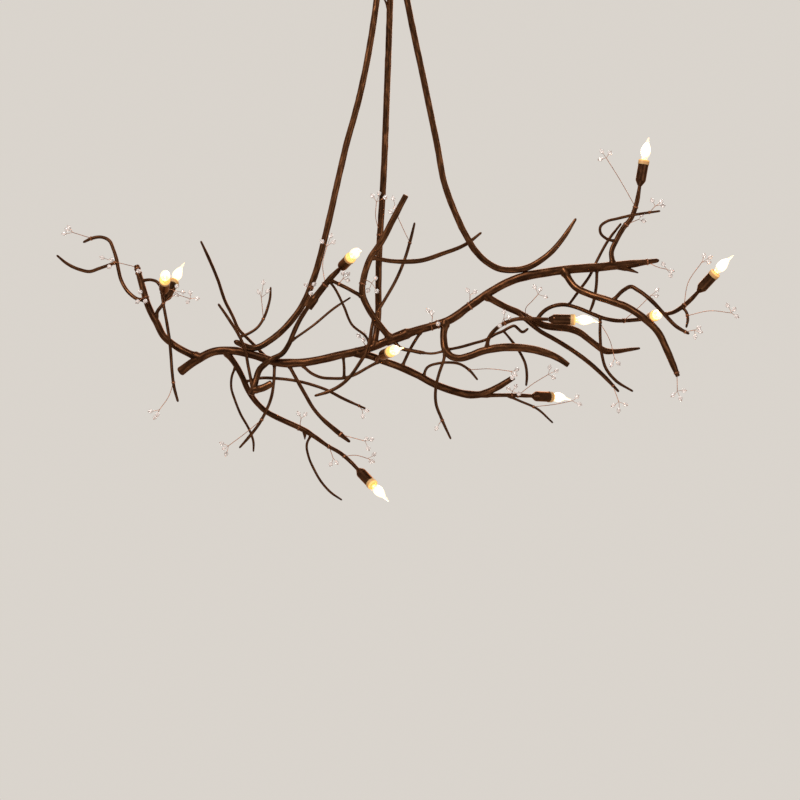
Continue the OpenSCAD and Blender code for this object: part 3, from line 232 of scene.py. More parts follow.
        (-248, -37, -6, .8), (-188, -30, 38, .8), (-140, -24, 78, .8), (-98, -16, 106, .6),
    ]),
    "loop_twig": (TWIG, "trunk", "lower_right_limb", [
        (-222, -8, -57), (-195, -2, -84), (-170, 4, -94), (-145, 8, -96), (-115, 12, -95),
        (-92, 16, -88), (-55, 20, -68), (-22, 24, -50),
    ]),
    "upright_twig": (TWIG, "trunk", "loop_twig", [
        (-115, -6, -37, .9), (-115, 4, -66, .9), (-114, 12, -95, .9),
    ]),
    "strut_twig": (TWIG, "right_limb", "lower_right_limb", [
        (80, 9, 28), (52, 20, -20), (30, 33, -68),
    ]),
    "cut_twig": (TWIG, "trunk", None, [
        (6, 4, 2, 1.2), (26, -6, -20, 1.2), (55, -10, -27, 1.2), (79, -12, -32, 1.3),
    ]),
    "thin_link": (TWIG, "cut_twig", "drooping_branch", [
        (70, -11, -30, .8), (105, -13, -34, .8), (139, -14, -28, .8),
    ]),
    "arch_twig": (TWIG, "lower_right_limb", None, [
        (82, 40, -93, .9), (94, 30, -68, .9), (122, 22, -58, .9), (148, 16, -56, .9),
        (175, 14, -60, .9), (195, 14, -72, .9), (220, 16, -100, .7),
    ]),
    "bowed_twig": (TWIG, "drooping_branch", None, [
        (139, -14, -26), (134, -18, -50), (122, -20, -85), (114, -20, -122), (115, -18, -160),
        (128, -16, -195), (152, -12, -248, .7),
    ]),
    "zigzag_twig": (TWIG, "drooping_branch", None, [
        (140, -14, -24, .9), (175, 0, -18, .95), (210, 6, -8, .95), (240, 8, 1, .95),
        (265, 4, 15, .95), (282, 0, 22, .95), (298, -4, 31, .95), (311, -6, 35, .95),
        (320, -6, 28, .95), (330, -6, 20, .95), (346, -6, 29, .8),
    ]),
    "dropping_twig": (TWIG, "zigzag_twig", None, [
        (284, 0, 23, .7), (310, -4, -10, .9), (325, -5, -32, .9), (338, -6, -60, .9),
        (342, -6, -92, .9), (340, -6, -115, .7),
    ]),
    "back_twig": (TWIG, "lower_back_arm", None, [
        (293, 60, -138, .8), (326, 56, -152, .8), (370, 50, -172, .8), (410, 44, -208, .6),
    ]),
    "crossing_back_twig": (TWIG, "looped_arm", None, [
        (445, -15, 86, .8), (472, 12, 122, .9), (503, 30, 165, .9), (519, 36, 198, .9),
        (549, 42, 252, .9), (582, 48, 295, .7),
    ]),
    "short_back_twig": (TWIG, "right_limb", None, [
        (520, 6, 182), (516, 14, 130), (508, 16, 90), (500, 14, 70, .8),
    ]),
    "swept_twig": (TWIG, "looped_arm", None, [
        (526, -6, 58, .9), (524, -20, 8), (528, -26, -38), (538, -30, -72), (560, -34, -100),
        (605, -36, -129, .7),
    ]),
    "curl_twig": (TWIG, "top_arm", None, [
        (564, 18, 247, .9), (540, 8, 255, .9), (526, -2, 268, .9), (526, -12, 284, .9),
        (540, -18, 295, .9), (566, -20, 302, .9), (605, -18, 311, .9), (675, -10, 322, .7),
    ]),
    "hook_twig": (TWIG, "far_arm", None, [
        (722, -84, 80, .8), (732, -90, 66, .9), (735, -92, 50, .9), (731, -92, 28, .7),
    ]),
    "spur": (TWIG, "right_limb", None, [
        (560, 10, 183, 1.3), (600, 10, 176, 1.2), (622, 9, 168, .5),
    ]),
    "stem_twig": (TWIG, "centre_stem", None, [
        (-2, 20, 815, .6), (-10, 14, 845, .6), (-26, 8, 872, .4),
    ]),
}

# Each sprig: the branch it is twisted on to, the points of its wire and its beads
SPRIGS = [
    ("far_left_twig", [(-757, 106, 261), (-805, 100, 275)],
     [(-826, 98, 272), (-815, 104, 288), (-818, 88, 282)]),
    ("left_limb", [(-639, 63, 186), (-690, 48, 197)],
     [(-724, 44, 208), (-706, 42, 185), (-700, 34, 202)]),
    ("left_limb", [(-615, 50, 108), (-622, 36, 108)],
     [(-627, 30, 121), (-634, 32, 97), (-614, 26, 98)]),
    ("left_limb", [(-634, 60, 172), (-631, 46, 172)], [(-632, 34, 174)]),
    ("hanging_twig", [(-568, 21, 92), (-540, 20, 112), (-500, 18, 104)],
     [(-506, 8, 96), (-484, 16, 104), (-502, 26, 119)]),
    ("hanging_twig", [(-575, 28, 130), (-545, 4, 126)],
     [(-532, -6, 134), (-518, -2, 120), (-534, 8, 114)]),
    ("hanging_twig", [(-542, 4, -105), (-553, 2, -140), (-576, -2, -174)],
     [(-598, -4, -178), (-588, 2, -193), (-580, -12, -186)]),
    ("crossing_twig", [(-320, -22, -200), (-362, -30, -234), (-402, -32, -264)],
     [(-418, -34, -258), (-408, -28, -284), (-412, -44, -270)]),
    ("curved_twig", [(-315, -30, 52), (-320, -34, 105)],
     [(-315, -34, 142), (-326, -38, 118), (-304, -44, 120)]),
    ("crooked_arm", [(-160, -74, 134), (-166, -70, 190), (-156, -74, 230)],
     [(-168, -72, 242), (-146, -72, 256), (-140, -80, 240)]),
    ("left_stem", [(-200, -4, 130), (-200, -22, 132)],
     [(-209, -30, 136), (-189, -28, 138), (-197, -26, 116)]),
    ("connecting_twig", [(-128, -72, 138), (-116, -76, 150)],
     [(-104, -74, 161), (-116, -66, 164), (-104, -84, 146)]),
    ("front_branch", [(-68, -36, 142), (-62, -58, 148), (-45, -60, 140)],
     [(-36, -58, 152), (-33, -54, 120), (-54, -66, 122)]),
    ("centre_stem", [(-25, 19, 260), (-36, 6, 310), (-34, 0, 345)],
     [(-28, -4, 366), (-12, -2, 356), (-44, 4, 360)]),
    ("rising_twig", [(49, 14, 243), (36, 6, 272), (22, -2, 302)],
     [(13, -8, 330), (8, 2, 354), (2, 2, 320)]),
    ("right_limb", [(118, 10, 39), (118, -6, 39)], [(120, -14, 40)]),
    ("right_limb", [(106, 9, 36), (106, 4, 58)], [(105, -4, 68), (95, 6, 74)]),
    ("right_limb", [(200, 12, 86), (200, 2, 112)], [(194, -4, 124), (212, -2, 120)]),
    ("trunk", [(-58, 0, -21), (-68, -14, -2)], [(-78, -22, 10), (-66, -30, 0), (-64, -14, 16)]),
    ("upper_fork", [(338, 13, 60), (340, 4, 80), (356, -2, 98), (370, -6, 114)],
     [(361, -10, 132), (388, -6, 108), (375, -14, 126)]),
    ("drooping_arm", [(286, -53, 41), (282, -66, 52)],
     [(272, -72, 34), (282, -72, 68), (294, -80, 54)]),
    ("arch_twig", [(196, 14, -74), (250, 10, -72), (302, 6, -78)],
     [(313, 2, -86), (318, 14, -74), (306, 8, -94)]),
    ("lower_back_arm", [(322, 64, -139), (362, 58, -108), (398, 54, -86)],
     [(402, 52, -68), (418, 50, -77), (412, 60, -93)]),
    ("lower_back_arm", [(305, 61, -138), (308, 50, -128)],
     [(298, 44, -122), (316, 44, -116), (324, 42, -134)]),
    ("back_twig", [(362, 51, -168), (420, 48, -160), (458, 42, -152)],
     [(470, 40, -142), (476, 38, -160)]),
    ("swept_twig", [(525, -12, 44), (548, -14, 0), (560, -16, -45)],
     [(552, -20, -62), (570, -14, -58)]),
    ("lower_fork", [(556, -19, -114), (570, -24, -154)],
     [(556, -28, -163), (586, -24, -161), (570, -20, -176)]),
    ("right_limb", [(645, 17, 196), (672, 8, 182), (692, 4, 177)],
     [(684, 6, 190), (705, 0, 173), (702, 8, 162)]),
    ("curl_twig", [(650, -13, 318), (662, -10, 334)],
     [(655, -10, 348), (676, -14, 345), (682, -2, 336)]),
    ("top_arm", [(590, 21, 292), (622, 6, 302)], [(634, 2, 298), (630, 10, 314)]),
    ("top_arm", [(612, 22, 336), (574, 14, 405), (541, 8, 456)],
     [(530, 6, 472), (550, 10, 468), (526, 2, 452)]),
    ("looped_arm", [(588, 20, 49), (628, 32, 86), (654, 34, 112)],
     [(668, 32, 112), (670, 30, 126), (658, 44, 102)]),
    ("far_arm", [(726, -82, 83), (736, -94, 140), (770, -88, 190)],
     [(776, -86, 206), (790, -88, 202), (786, -98, 190)]),
    ("hook_twig", [(734, -91, 58), (790, -90, 70), (844, -82, 65)],
     [(835, -78, 84), (857, -80, 57), (850, -90, 74)]),
    ("arched_twig", [(728, -122, 17), (748, -118, 22)],
     [(750, -120, 6), (760, -112, 28), (762, -124, 18)]),
    ("outer_branch", [(708, -102, -84), (708, -104, -128)],
     [(697, -106, -138), (716, -102, -146), (724, -106, -127)]),
    ("lower_left_limb", [(-115, -5, -290), (-88, -2, -288), (-55, -10, -296)],
     [(-44, -12, -302), (-40, -6, -286), (-48, 2, -304)]),
    ("lower_left_limb", [(-152, -2, -267), (-142, 2, -296)], [(-148, 6, -310), (-134, 0, -306)]),
    ("lower_left_limb", [(-226, 3, -220), (-222, -6, -196)], [(-228, -10, -184), (-212, -8, -186)]),
    ("club_twig", [(-122, -30, -236), (-92, -44, -244), (-62, -42, -252)],
     [(-54, -42, -270), (-46, -38, -248), (-58, -54, -246)]),
    ("level_twig", [(-78, -6, -164), (-70, -16, -174)], [(-58, -22, -176), (-68, -14, -190)]),
    ("bowed_twig", [(130, -16, -200), (122, -26, -210)], [(116, -32, -220)]),
]

# The pieces that stand for each CAD node, and the finish of each
GROUPS = {
    "left_stem": (["left_stem"], "brown_bronze"),
    "centre_stem": (["centre_stem"], "brown_bronze"),
    "right_stem": (["right_stem"], "brown_bronze"),
    "trunk": (["trunk"], "bronze"),
    "right_limb": (["right_limb"], "bronze"),
    "left_limb": (["left_limb"], "bronze"),
    "crooked_branch": (["crooked_branch", "crooked_stub", "crooked_arm"], "brown_bronze"),
    "front_branch": (["front_branch"], "brown_bronze"),
    "lower_left_limb": (["lower_left_limb"], "bronze"),
    "lower_right_limb": (["lower_right_limb"], "bronze"),
    "drooping_branch": (["drooping_branch"], "brown_bronze"),
    "forked_branches": (["upper_fork", "lower_fork"], "bronze"),
    "outer_branch": (["outer_branch"], "brown_bronze"),
    "lamp_arms": (["upper_front_arm", "upper_back_arm", "middle_arm", "lower_back_arm",
                   "drooping_arm", "looped_arm", "top_arm", "far_arm"], "bronze"),
    "left_twigs": (["hanging_twig", "far_left_twig", "far_left_fork", "long_twig", "dark_twig",
                    "curved_twig", "outer_hanging_twig", "crossing_twig", "level_twig",
                    "club_twig", "lowest_twig", "thorn"], "bronze"),
    "middle_twigs": (["crescent_twig", "rising_twig", "knot_twig", "connecting_twig",
                      "slanting_twig", "straight_twig", "loop_twig", "upright_twig", "strut_twig",
                      "cut_twig", "thin_link", "arch_twig", "bowed_twig", "stem_twig"],
                     "brown_bronze"),
    "right_twigs": (["zigzag_twig", "dropping_twig", "back_twig", "crossing_back_twig",
                     "short_back_twig", "swept_twig", "curl_twig", "arched_twig", "hook_twig",
                     "spur"], "bronze"),
}

# Branches that end in lamps, and the turn of each bulb's bent tip about the lamp's axis, in degrees
LAMPS = [
    ("upper_front_arm", 0), ("upper_back_arm", -120), ("crooked_arm", 0), ("lower_left_limb", 60),
    ("middle_arm", 90), ("lower_back_arm", -60), ("drooping_arm", 60), ("looped_arm", 0),
    ("top_arm", 75), ("far_arm", 90),
]
# Branches sawn off square; the others end in a rounded tip
SAWN = {"trunk", "outer_branch", "drooping_branch", "crooked_branch", "crooked_stub",
        "lower_right_limb", "left_limb", "front_branch", "cut_twig"}


# ---- Curves ---------------------------------------------------------------------------------------

SNAP_STEPS = 10  # places tried on each stretch of a route
LEAST_STEP = 0.05  # between two rings


def unit(v):
    """Vectors divided by their lengths."""
    return v / np.linalg.norm(v, axis=-1, keepdims=True)


def distances(line):
    """Distance of each point of a line from its start: the running sum of its chords."""
    return np.concatenate([[0], np.cumsum(np.linalg.norm(np.diff(line, axis=0), axis=1))])


def headings(route):
    """Direction of a route at each of its points: the sum of both chords, each over its squared length."""
    chord = np.diff(route[:, :3], axis=0)
    chord = chord / (chord ** 2).sum(1)[:, None]
    return unit(np.vstack([chord[:1], chord[1:] + chord[:-1], chord[-1:]]))


def on_curve(route, t):
    """Points and shares of thickness at t, which counts the route's points. Between points p and q, with
    headings h and g and s = u2(3 - 2u), a point is (1-s)p + sq + |q-p|u(1-u)((1-u)h - ug)."""
    i = np.minimum(t.astype(int), len(route) - 2)
    u = (t - i)[:, None]
    p, q, heading = route[i], route[i + 1], headings(route)
    s = u * u * (3 - 2 * u)
    chord = np.linalg.norm(q[:, :3] - p[:, :3], axis=1)[:, None]
    bow = chord * u * (1 - u) * ((1 - u) * heading[i] - u * heading[i + 1])
    mixed = (1 - s) * p + s * q
    return mixed[:, :3] + bow, mixed[:, 3]


def snap(route, point):
    """The point of a route's curve that is nearest to a point, with that point's own share."""
    line = on_curve(route, np.arange(SNAP_STEPS * (len(route) - 1) + 1) / SNAP_STEPS)[0]
    return [*line[np.linalg.norm(line - point[:3], axis=1).argmin()], point[3]]


def route_of(points, start=None, end=None):
    """Array of a list of points, in the frame, its ends snapped on to the routes start and end."""
    route = np.array([[*p, 1.0][:4] for p in points], float)
    route[:, 2] -= DROP
    if start is not None:
        route[0] = snap(start, route[0])
    if end is not None:
        route[-1] = snap(end, route[-1])
    return route


def evenly(route, step, ends=()):
    """Centres, shares and distances along a route at an even step, and at the distances ends from both of
    its ends. A distance is turned into t by interpolating over the lengths of the chords."""
    at_points, ends = distances(route[:, :3]), np.asarray(ends, float)
    total = at_points[-1]
    s = np.unique(np.concatenate([np.linspace(0, total, int(total / step) + 2), ends, total - ends]))
    s = s[np.concatenate([[True], np.diff(s) > LEAST_STEP])]
    s[-1] = total
    centre, share = on_curve(route, np.interp(s, at_points, np.arange(len(route))))
    return centre, share, s


def cross_frame(direction):
    """Two vectors square to each direction and to each other. The first leans to the fixed axis that the
    whole line runs least along, so that the skin doesn't wind."""
    axes = unit(np.array([[0, 1, 0], [1, 0, 0], [0, 0, 1], [1, 1, 0], [1, -1, 0], [0, 1, 1],
                          [0, 1, -1], [1, 0, 1], [1, 0, -1]], float))
    axis = axes[np.abs(direction @ axes.T).max(0).argmin()]
    side = unit(axis - (direction @ axis)[:, None] * direction)
    return side, np.cross(direction, side)


# ---- Meshes ---------------------------------------------------------------------------------------

GRAIN_STRETCH = 0.3  # of the distance along a tube, so that its grain runs lengthwise


class Skin:
    """Points, faces and values of one piece, gathered from its parts."""

    def __init__(self):
        self.points, self.faces, self.relief, self.grain, self.level = [], [], [], [], []
        self.count = 0

    def add(self, points, faces, relief=None, grain=None, level=None):
        """Adds one part: an array of points and a list of arrays of faces. level runs along a lamp."""
        self.points.append(points)
        self.faces += [f + self.count for f in faces]
        self.relief.append(np.full(len(points), 0.5) if relief is None else relief)
        self.grain.append(points if grain is None else grain)
        self.level.append(np.zeros(len(points)) if level is None else level)
        self.count += len(points)

    def build(self, name, finish, smooth=True):
        """The object, with its points turned from millimetres into metres."""
        mesh = bpy.data.meshes.new(name)
        faces = [row for part in self.faces for row in part.tolist()]
        mesh.from_pydata((np.vstack(self.points) * MM).tolist(), [], faces)
        for label, values in (("relief", self.relief), ("level", self.level)):
            mesh.attributes.new(label, "FLOAT", "POINT").data.foreach_set(
                "value", np.concatenate(values).astype(np.float32))
        mesh.attributes.new("grain", "FLOAT_VECTOR", "POINT").data.foreach_set(
            "vector", (np.vstack(self.grain) * MM).astype(np.float32).ravel())
        mesh.materials.append(finish)
        mesh.polygons.foreach_set("use_smooth", np.full(len(faces), smooth))
        mesh.update()
        return add_to_scene(name, mesh)


def add_to_scene(name, data):
    """A new object that shows a mesh, a light or a camera."""
    thing = bpy.data.objects.new(name, data)
    bpy.context.scene.collection.objects.link(thing)
    return thing


def band(low, high, sides):
    """Faces between two rings, given the index of each ring's first corner."""
    s = np.arange(sides)
    after = (s + 1) % sides
    return np.stack([low + s, low + after, high + after, high + s], axis=1)


def grid_faces(rings, sides, close_ends=True):
    """Faces of a tube of rings with sides corners each, and of fans to a pole at each end. The poles are
    the last two points."""
    j, s = np.meshgrid(np.arange(rings - 1), np.arange(sides), indexing="ij")
    a, b = (j * sides + s).ravel(), (j * sides + (s + 1) % sides).ravel()
    faces = [np.stack([a, b, b + sides, a + sides], axis=1)]
    if close_ends:
        s, last = np.arange(sides), (rings - 1) * sides
        for pole, one, other in ((rings * sides, (s + 1) % sides, s),
                                 (rings * sides + 1, last + s, last + (s + 1) % sides)):
            faces.append(np.stack([np.full(sides, pole), one, other], axis=1))
    return faces


def sweep(skin, centre, radius, sides, relief=None):
    """Adds a closed tube: corner s of ring j is centre + radius(j, s) * (cos a * side + sin a * up)."""
    side, up = cross_frame(unit(np.gradient(centre, axis=0)))
    angle = 2 * np.pi * np.arange(sides)[None, :] / sides
    radius = np.asarray(radius, float)
    radius = np.broadcast_to(radius[:, None] if radius.ndim == 1 else radius, (len(centre), sides))
    outward = np.cos(angle)[..., None] * side[:, None] + np.sin(angle)[..., None] * up[:, None]
    points = centre[:, None] + radius[..., None] * outward
    along = GRAIN_STRETCH * distances(centre)
    grain = np.stack([radius * np.cos(angle), radius * np.sin(angle),
                      np.broadcast_to(along[:, None], radius.shape)], axis=-1)
    values = np.full(radius.shape, 0.5) if relief is None else relief
    skin.add(np.vstack([points.reshape(-1, 3), centre[[0, -1]]]), grid_faces(len(centre), sides),
             np.concatenate([values.ravel(), values[[0, -1], 0]]),
             np.vstack([grain.reshape(-1, 3), [[0, 0, 0], [0, 0, along[-1]]]]))


# ---- Branches -------------------------------------------------------------------------------------

RING_STEP = 2.4  # between the rings of a branch
SIDES = {THICK: 28, STEM: 24, LIMB: 24, ARM: 18, TWIG: 14}
END_RINGS = np.array([0.02, 0.08, 0.2, 0.35, 0.6, 0.9, 1.3])  # more rings at both ends, in radii from them
RIDGES = [(2, 0.4), (3, 0.5), (5, 0.4), (8, 0.25)]  # how many ridges round the branch, and how high
RIDGE_DEPTH, KNOT_HEIGHT, SWELL = 0.03, 0.07, 0.02  # shares of the radius
KNOT_SPACING, KNOT_LENGTH = 75, 1.3  # a knot is longer than it is wide
FILLET, FILLET_REACH = 0.42, 0.55  # share of the radius added at a weld, and how far it reaches
SAWN_EDGE, SAWN_LOSS, TIP_TAPER = 0.35, 0.25, 1.6  # lengths of a sawn edge and a tip, in radii


def wander(s, rng, reach):
    """Smooth random walk along a branch: three sines of 35 to 170 mm with random phases."""
    waves = rng.uniform([35, 60, 100], [60, 100, 170])
    phases = rng.uniform(0, 2 * np.pi, 3)
    return reach * np.sin(2 * np.pi * s[:, None] / waves + phases).mean(1)


def bark(s, angle, radius, rng):
    """Relief of the bark, about -1 to 1, from ridges cos(n a + wander), and its knots, which are bells
    exp(-d2) of the distance d along and round the branch."""
    a = angle[None, :]
    relief = sum(height * np.cos(n * a + wander(s, rng, 2)[:, None]) for n, height in RIDGES)
    knots = np.zeros_like(relief)
    total = s[-1]
    for at in rng.uniform(0.08, 0.92, int(total / KNOT_SPACING)) * total:
        centre, width = rng.uniform(0, 2 * np.pi), rng.uniform(0.5, 0.9) * radius
        off = np.angle(np.exp(1j * (a - centre))) * radius / width
        knots += rng.uniform(0.5, 1.3) * np.exp(-((s[:, None] - at) / width / KNOT_LENGTH) ** 2 - off ** 2)
    return relief, knots


def rounding(s, radius, sawn):
    """Share of the radius left towards the branch's end, where e runs from 0 at the end to 1: at a sawn end
    1 - loss(1 - e)2 over its edge, and at a tip the circle sqrt(1 - (1 - e)2) over its taper."""
    e = np.clip((s[-1] - s) / ((SAWN_EDGE if sawn else TIP_TAPER) * radius), 0, 1)
    if sawn:
        return 1 - SAWN_LOSS * (1 - e) ** 2
    return np.sqrt(np.clip(1 - (1 - e) ** 2, 0.0004, 1))


routes = {}
for branch_name, (_, start_on, end_on, points) in BRANCHES.items():
    routes[branch_name] = route_of(points, routes.get(start_on), routes.get(end_on))
# Centre line and radii of each branch, for what is welded or twisted on to it
lines = {}
for branch_name, (thickness, _, _, _) in BRANCHES.items():
    middle, share, _ = evenly(routes[branch_name], RING_STEP)
    lines[branch_name] = (middle, share * thickness / 2)


def nearness(centre, radius, other):
    """1 where a ring lies at the skin of another branch or inside it, falling off as exp(-gap / reach)."""
    line, thick = lines[other]
    gap = (np.linalg.norm(centre[:, None] - line[None], axis=2) - thick).min(1)
    return np.exp(-np.clip(gap, 0, None) / (FILLET_REACH * radius))


def add_branch(skin, name, seed):
    """Adds one branch with its bark: radius (share of thickness)/2 * (1 + relief), flared into a fillet
    where it is welded on, and cut flat where a lamp's cup closes it."""
    thickness, start_on, end_on, _ = BRANCHES[name]
    full = thickness / 2
    rng = np.random.default_rng(seed)
    centre, share, s = evenly(routes[name], RING_STEP, full * END_RINGS)
    sides = SIDES[thickness]
    relief, knots = bark(s, 2 * np.pi * np.arange(sides) / sides, full, rng)
    swell = SWELL * wander(s, rng, 1.5)
    grown = (share * full)[:, None] * (1 + RIDGE_DEPTH * relief + KNOT_HEIGHT * knots + swell[:, None])
    for other in (start_on, end_on):
        if other:
            grown = grown * (1 + FILLET * nearness(centre, full, other))[:, None]
    if end_on is None and name not in dict(LAMPS):
        grown = grown * rounding(s, full * share[-1], name in SAWN)[:, None]
    if start_on is None:
        grown = grown * rounding(s[-1] - s[::-1], full, True)[::-1, None]
    sweep(skin, centre, grown, sides, np.clip(0.5 + 0.3 * relief + 0.15 * knots, 0, 1))


# ---- Turned pieces --------------------------------------------------------------------------------

def lamp_frame(arm):
    """Foot of the lamp at a branch's end and its axes as rows: two across it and the one outwards."""
    route = routes[arm]
    axis = headings(route)[-1]
    tilt, turn = np.arccos(axis[2]), np.arctan2(axis[1], axis[0])
    return route[-1, :3], np.array([
        [np.cos(tilt) * np.cos(turn), np.cos(tilt) * np.sin(turn), -np.sin(tilt)],
        [-np.sin(turn), np.cos(turn), 0], axis])


UPRIGHT = (np.zeros(3), np.eye(3))  # the axis of the ceiling pieces, from the ceiling


def softened(profile, soft=0.4, steps=3, closed=True):
    """A profile with each corner p cut back by soft along both sides and rounded by the parabola
    (1-t)2 a + 2t(1-t) p + t2 b."""
    p = np.array(profile, float)
    before, after = np.roll(p, 1, axis=0), np.roll(p, -1, axis=0)
    if not closed:
        before[0], after[-1] = p[0], p[-1]
    to_a, to_b = before - p, after - p
    length_a, length_b = (np.linalg.norm(v, axis=1)[:, None] + 1e-9 for v in (to_a, to_b))
    a = p + to_a / length_a * np.minimum(soft, length_a / 2.5)
    b = p + to_b / length_b * np.minimum(soft, length_b / 2.5)
    t = np.linspace(0, 1, steps)[None, :, None]
    return ((1 - t) ** 2 * a[:, None] + 2 * t * (1 - t) * p[:, None] + t ** 2 * b[:, None]).reshape(-1, 2)


def lathe(skin, place, profile, sides=40, closed=True, ripple=None, painted_glow_from=None):
    """Adds a turned piece: point (r, z) of the profile at angle a is foot + r(cos a, sin a) across + z along
    the axis. A closed profile is a loop; an open one starts and ends on the axis. ripple(z, a) is added
    to r. The level runs from the height given for a painted glow, or else from the piece's own foot, to its
    top. A lamp's glow follows it, and on the sockets so does the bulb's light painted on to the collar."""
    foot, axes = place
    profile = np.asarray(profile, float)
    profile = profile[profile[:, 0] > 0.05]  # the poles stand for the points on the axis
    angle = 2 * np.pi * np.arange(sides) / sides
    r = profile[:, :1] + (ripple(profile[:, 1:], angle[None, :]) if ripple else 0 * angle[None, :])
    z = np.broadcast_to(profile[:, 1:], r.shape)
    local = np.stack([r * np.cos(angle), r * np.sin(angle), z], axis=-1).reshape(-1, 3)
    faces = grid_faces(len(profile), sides, close_ends=not closed)
    if closed:
        faces.append(band((len(profile) - 1) * sides, 0, sides))
    else:
        local = np.vstack([local, [[0, 0, profile[0, 1]], [0, 0, profile[-1, 1]]]])
    low, high = profile[:, 1].min() if painted_glow_from is None else painted_glow_from, profile[:, 1].max()
    level = np.clip((local[:, 2] - low) / (high - low), 0, 1)
    skin.add(foot + local @ axes, faces, level=level, grain=local)


# Sizes of a lamp, and heights along it from the arm's end outwards, as in the CAD model
WELD_GAP = 0.2
CUP_H, CUP_CONE_H, CUP_R, CUP_WALL = 54, 13, 13, 1.2
FOOT_R, FOOT_H, FOOT_HOLE_R, RIM = 6, 3, 3.2, 0.35
SOCKET_Z, SOCKET_R, SOCKET_BORE_R, BORE_Z = 14.5, 10, 6.15, 46.2
COLLAR_TOP, COLLAR_R, BEVEL_W, BEVEL_H = 66.2, 14, 1.4, 2.2
BASE_Z, BASE_R, BASE_H, BUTTON_R, BUTTON_H = 48.8, 5.95, 18, 4, 3.2
SHELL_Z, THREAD_Z, THREAD_TOP = BASE_Z + 3, BASE_Z + 3.6, BASE_Z + BASE_H - 1.2
THREAD, THREAD_DEPTH, THREAD_FADE = 2.54, 0.3, 1.5  # pitch, depth and how soon it fades in and out
GLASS_Z, GLASS_H, GLASS_R, GLASS_WALL = 66.9, 44, 12, 0.9
GLASS_OUTLINE = np.array([
    (0.56, 0), (0.55, 0.05), (0.6, 0.12), (0.76, 0.21), (0.92, 0.32), (1, 0.44), (0.97, 0.56),
    (0.86, 0.68), (0.68, 0.81), (0.47, 0.92), (0.3, 1)])
BEND_FROM, BEND_SHARE, TIP_TILT, TIP_L, TIP_END_R = 0.62, 0.62, np.radians(30), 15, 0.25
# Inside the glass, from its neck: a stem, leads (x, z) with a mirrored pair, and the coil between them
STEM_OUTLINE = np.array([(0, 1), (4.5, 1), (2.2, 7), (1.1, 17), (0, 18)])
LEAD, LEAD_R = [(0.8, 12), (1.4, 18), (3.6, 24), (4, 30)], 0.22
COIL_RISE, COIL_TURNS, COIL_R, COIL_WIRE_R = 3.2, 18, 0.55, 0.14


def smooth_through(points, count):
    """Points evenly along the smooth curve through a profile, whose stretches are cubics like a branch's."""
    route = np.column_stack([points, np.zeros(len(points)), np.ones(len(points))])
    return on_curve(route, np.linspace(0, len(points) - 1, count))[0][:, :2]


def add_cup(skin, place):
    """Spun cup: a foot round the arm, a cone that swells into a straight wall, and a rolled rim."""
    inner = CUP_R - CUP_WALL
    lathe(skin, place, softened([
        (FOOT_HOLE_R, WELD_GAP), (FOOT_R - 0.4, WELD_GAP), (FOOT_R, 1.2), (FOOT_R + 3.4, CUP_CONE_H * 0.55),
        (CUP_R - 0.6, CUP_CONE_H * 0.94), (CUP_R, CUP_CONE_H + 3), (CUP_R, CUP_H - 1.6),
        (CUP_R + RIM, CUP_H - 1), (CUP_R + RIM - 0.05, CUP_H), (inner, CUP_H), (inner, CUP_CONE_H + 2),
        (FOOT_R, FOOT_H), (FOOT_HOLE_R, FOOT_H)], 0.45), 48)


def add_socket(skin, place):
    """Socket: a round body inside the cup and a collar on the cup's rim, bored for the bulb. Its level runs
    up the collar from the cup's rim and carries a painted glow: the bulb's light painted on to the collar.
    """
    lathe(skin, place, softened([
        (0, SOCKET_Z), (SOCKET_R, SOCKET_Z), (SOCKET_R, CUP_H + WELD_GAP), (COLLAR_R, CUP_H + WELD_GAP),
        (COLLAR_R, COLLAR_TOP - BEVEL_H), (COLLAR_R - BEVEL_W, COLLAR_TOP), (SOCKET_BORE_R, COLLAR_TOP),
        (SOCKET_BORE_R, BORE_Z), (0, BORE_Z)], 0.5, closed=False), 48, closed=False, painted_glow_from=CUP_H)


def add_base(skin, place):
    """Screw shell: radius + depth * cos(2 pi z / pitch - a), which is a rolled thread, between two plain
    ends, and the button at its foot."""
    z = np.linspace(SHELL_Z, BASE_Z + BASE_H, 50)
    profile = np.column_stack([np.full(len(z), BASE_R - THREAD_DEPTH), z])
    profile[0, 0], profile[-1, 0] = BASE_R - 1.2, BASE_R - 0.6

    def thread(height, angle):
        rise = np.clip((height - THREAD_Z) / THREAD_FADE, 0, 1)
        fall = np.clip((THREAD_TOP - height) / THREAD_FADE, 0, 1)
        return THREAD_DEPTH * rise * fall * np.cos(2 * np.pi * height / THREAD - angle)

    lathe(skin, place, profile, 40, closed=False, ripple=thread)
    top = BASE_Z + BUTTON_H
    lathe(skin, place, softened([(0, BASE_Z), (BUTTON_R, BASE_Z), (BUTTON_R + 1.4, top), (0, top)], 0.3,
                                closed=False), 32, closed=False)


def bulb_line(turn, heights):
    """Middle line of the glass at heights above its neck: straight, then bent to one side by a parabola,
    share * length * tan(tilt) * u2, where u runs from 0 to 1 over the bend's length."""
    length = GLASS_H * (1 - BEND_FROM) + TIP_L
    u = np.clip((heights - BEND_FROM * GLASS_H) / length, 0, 1)
    side = BEND_SHARE * length * np.tan(TIP_TILT) * u ** 2
    return np.column_stack([side * np.cos(turn), side * np.sin(turn), heights])


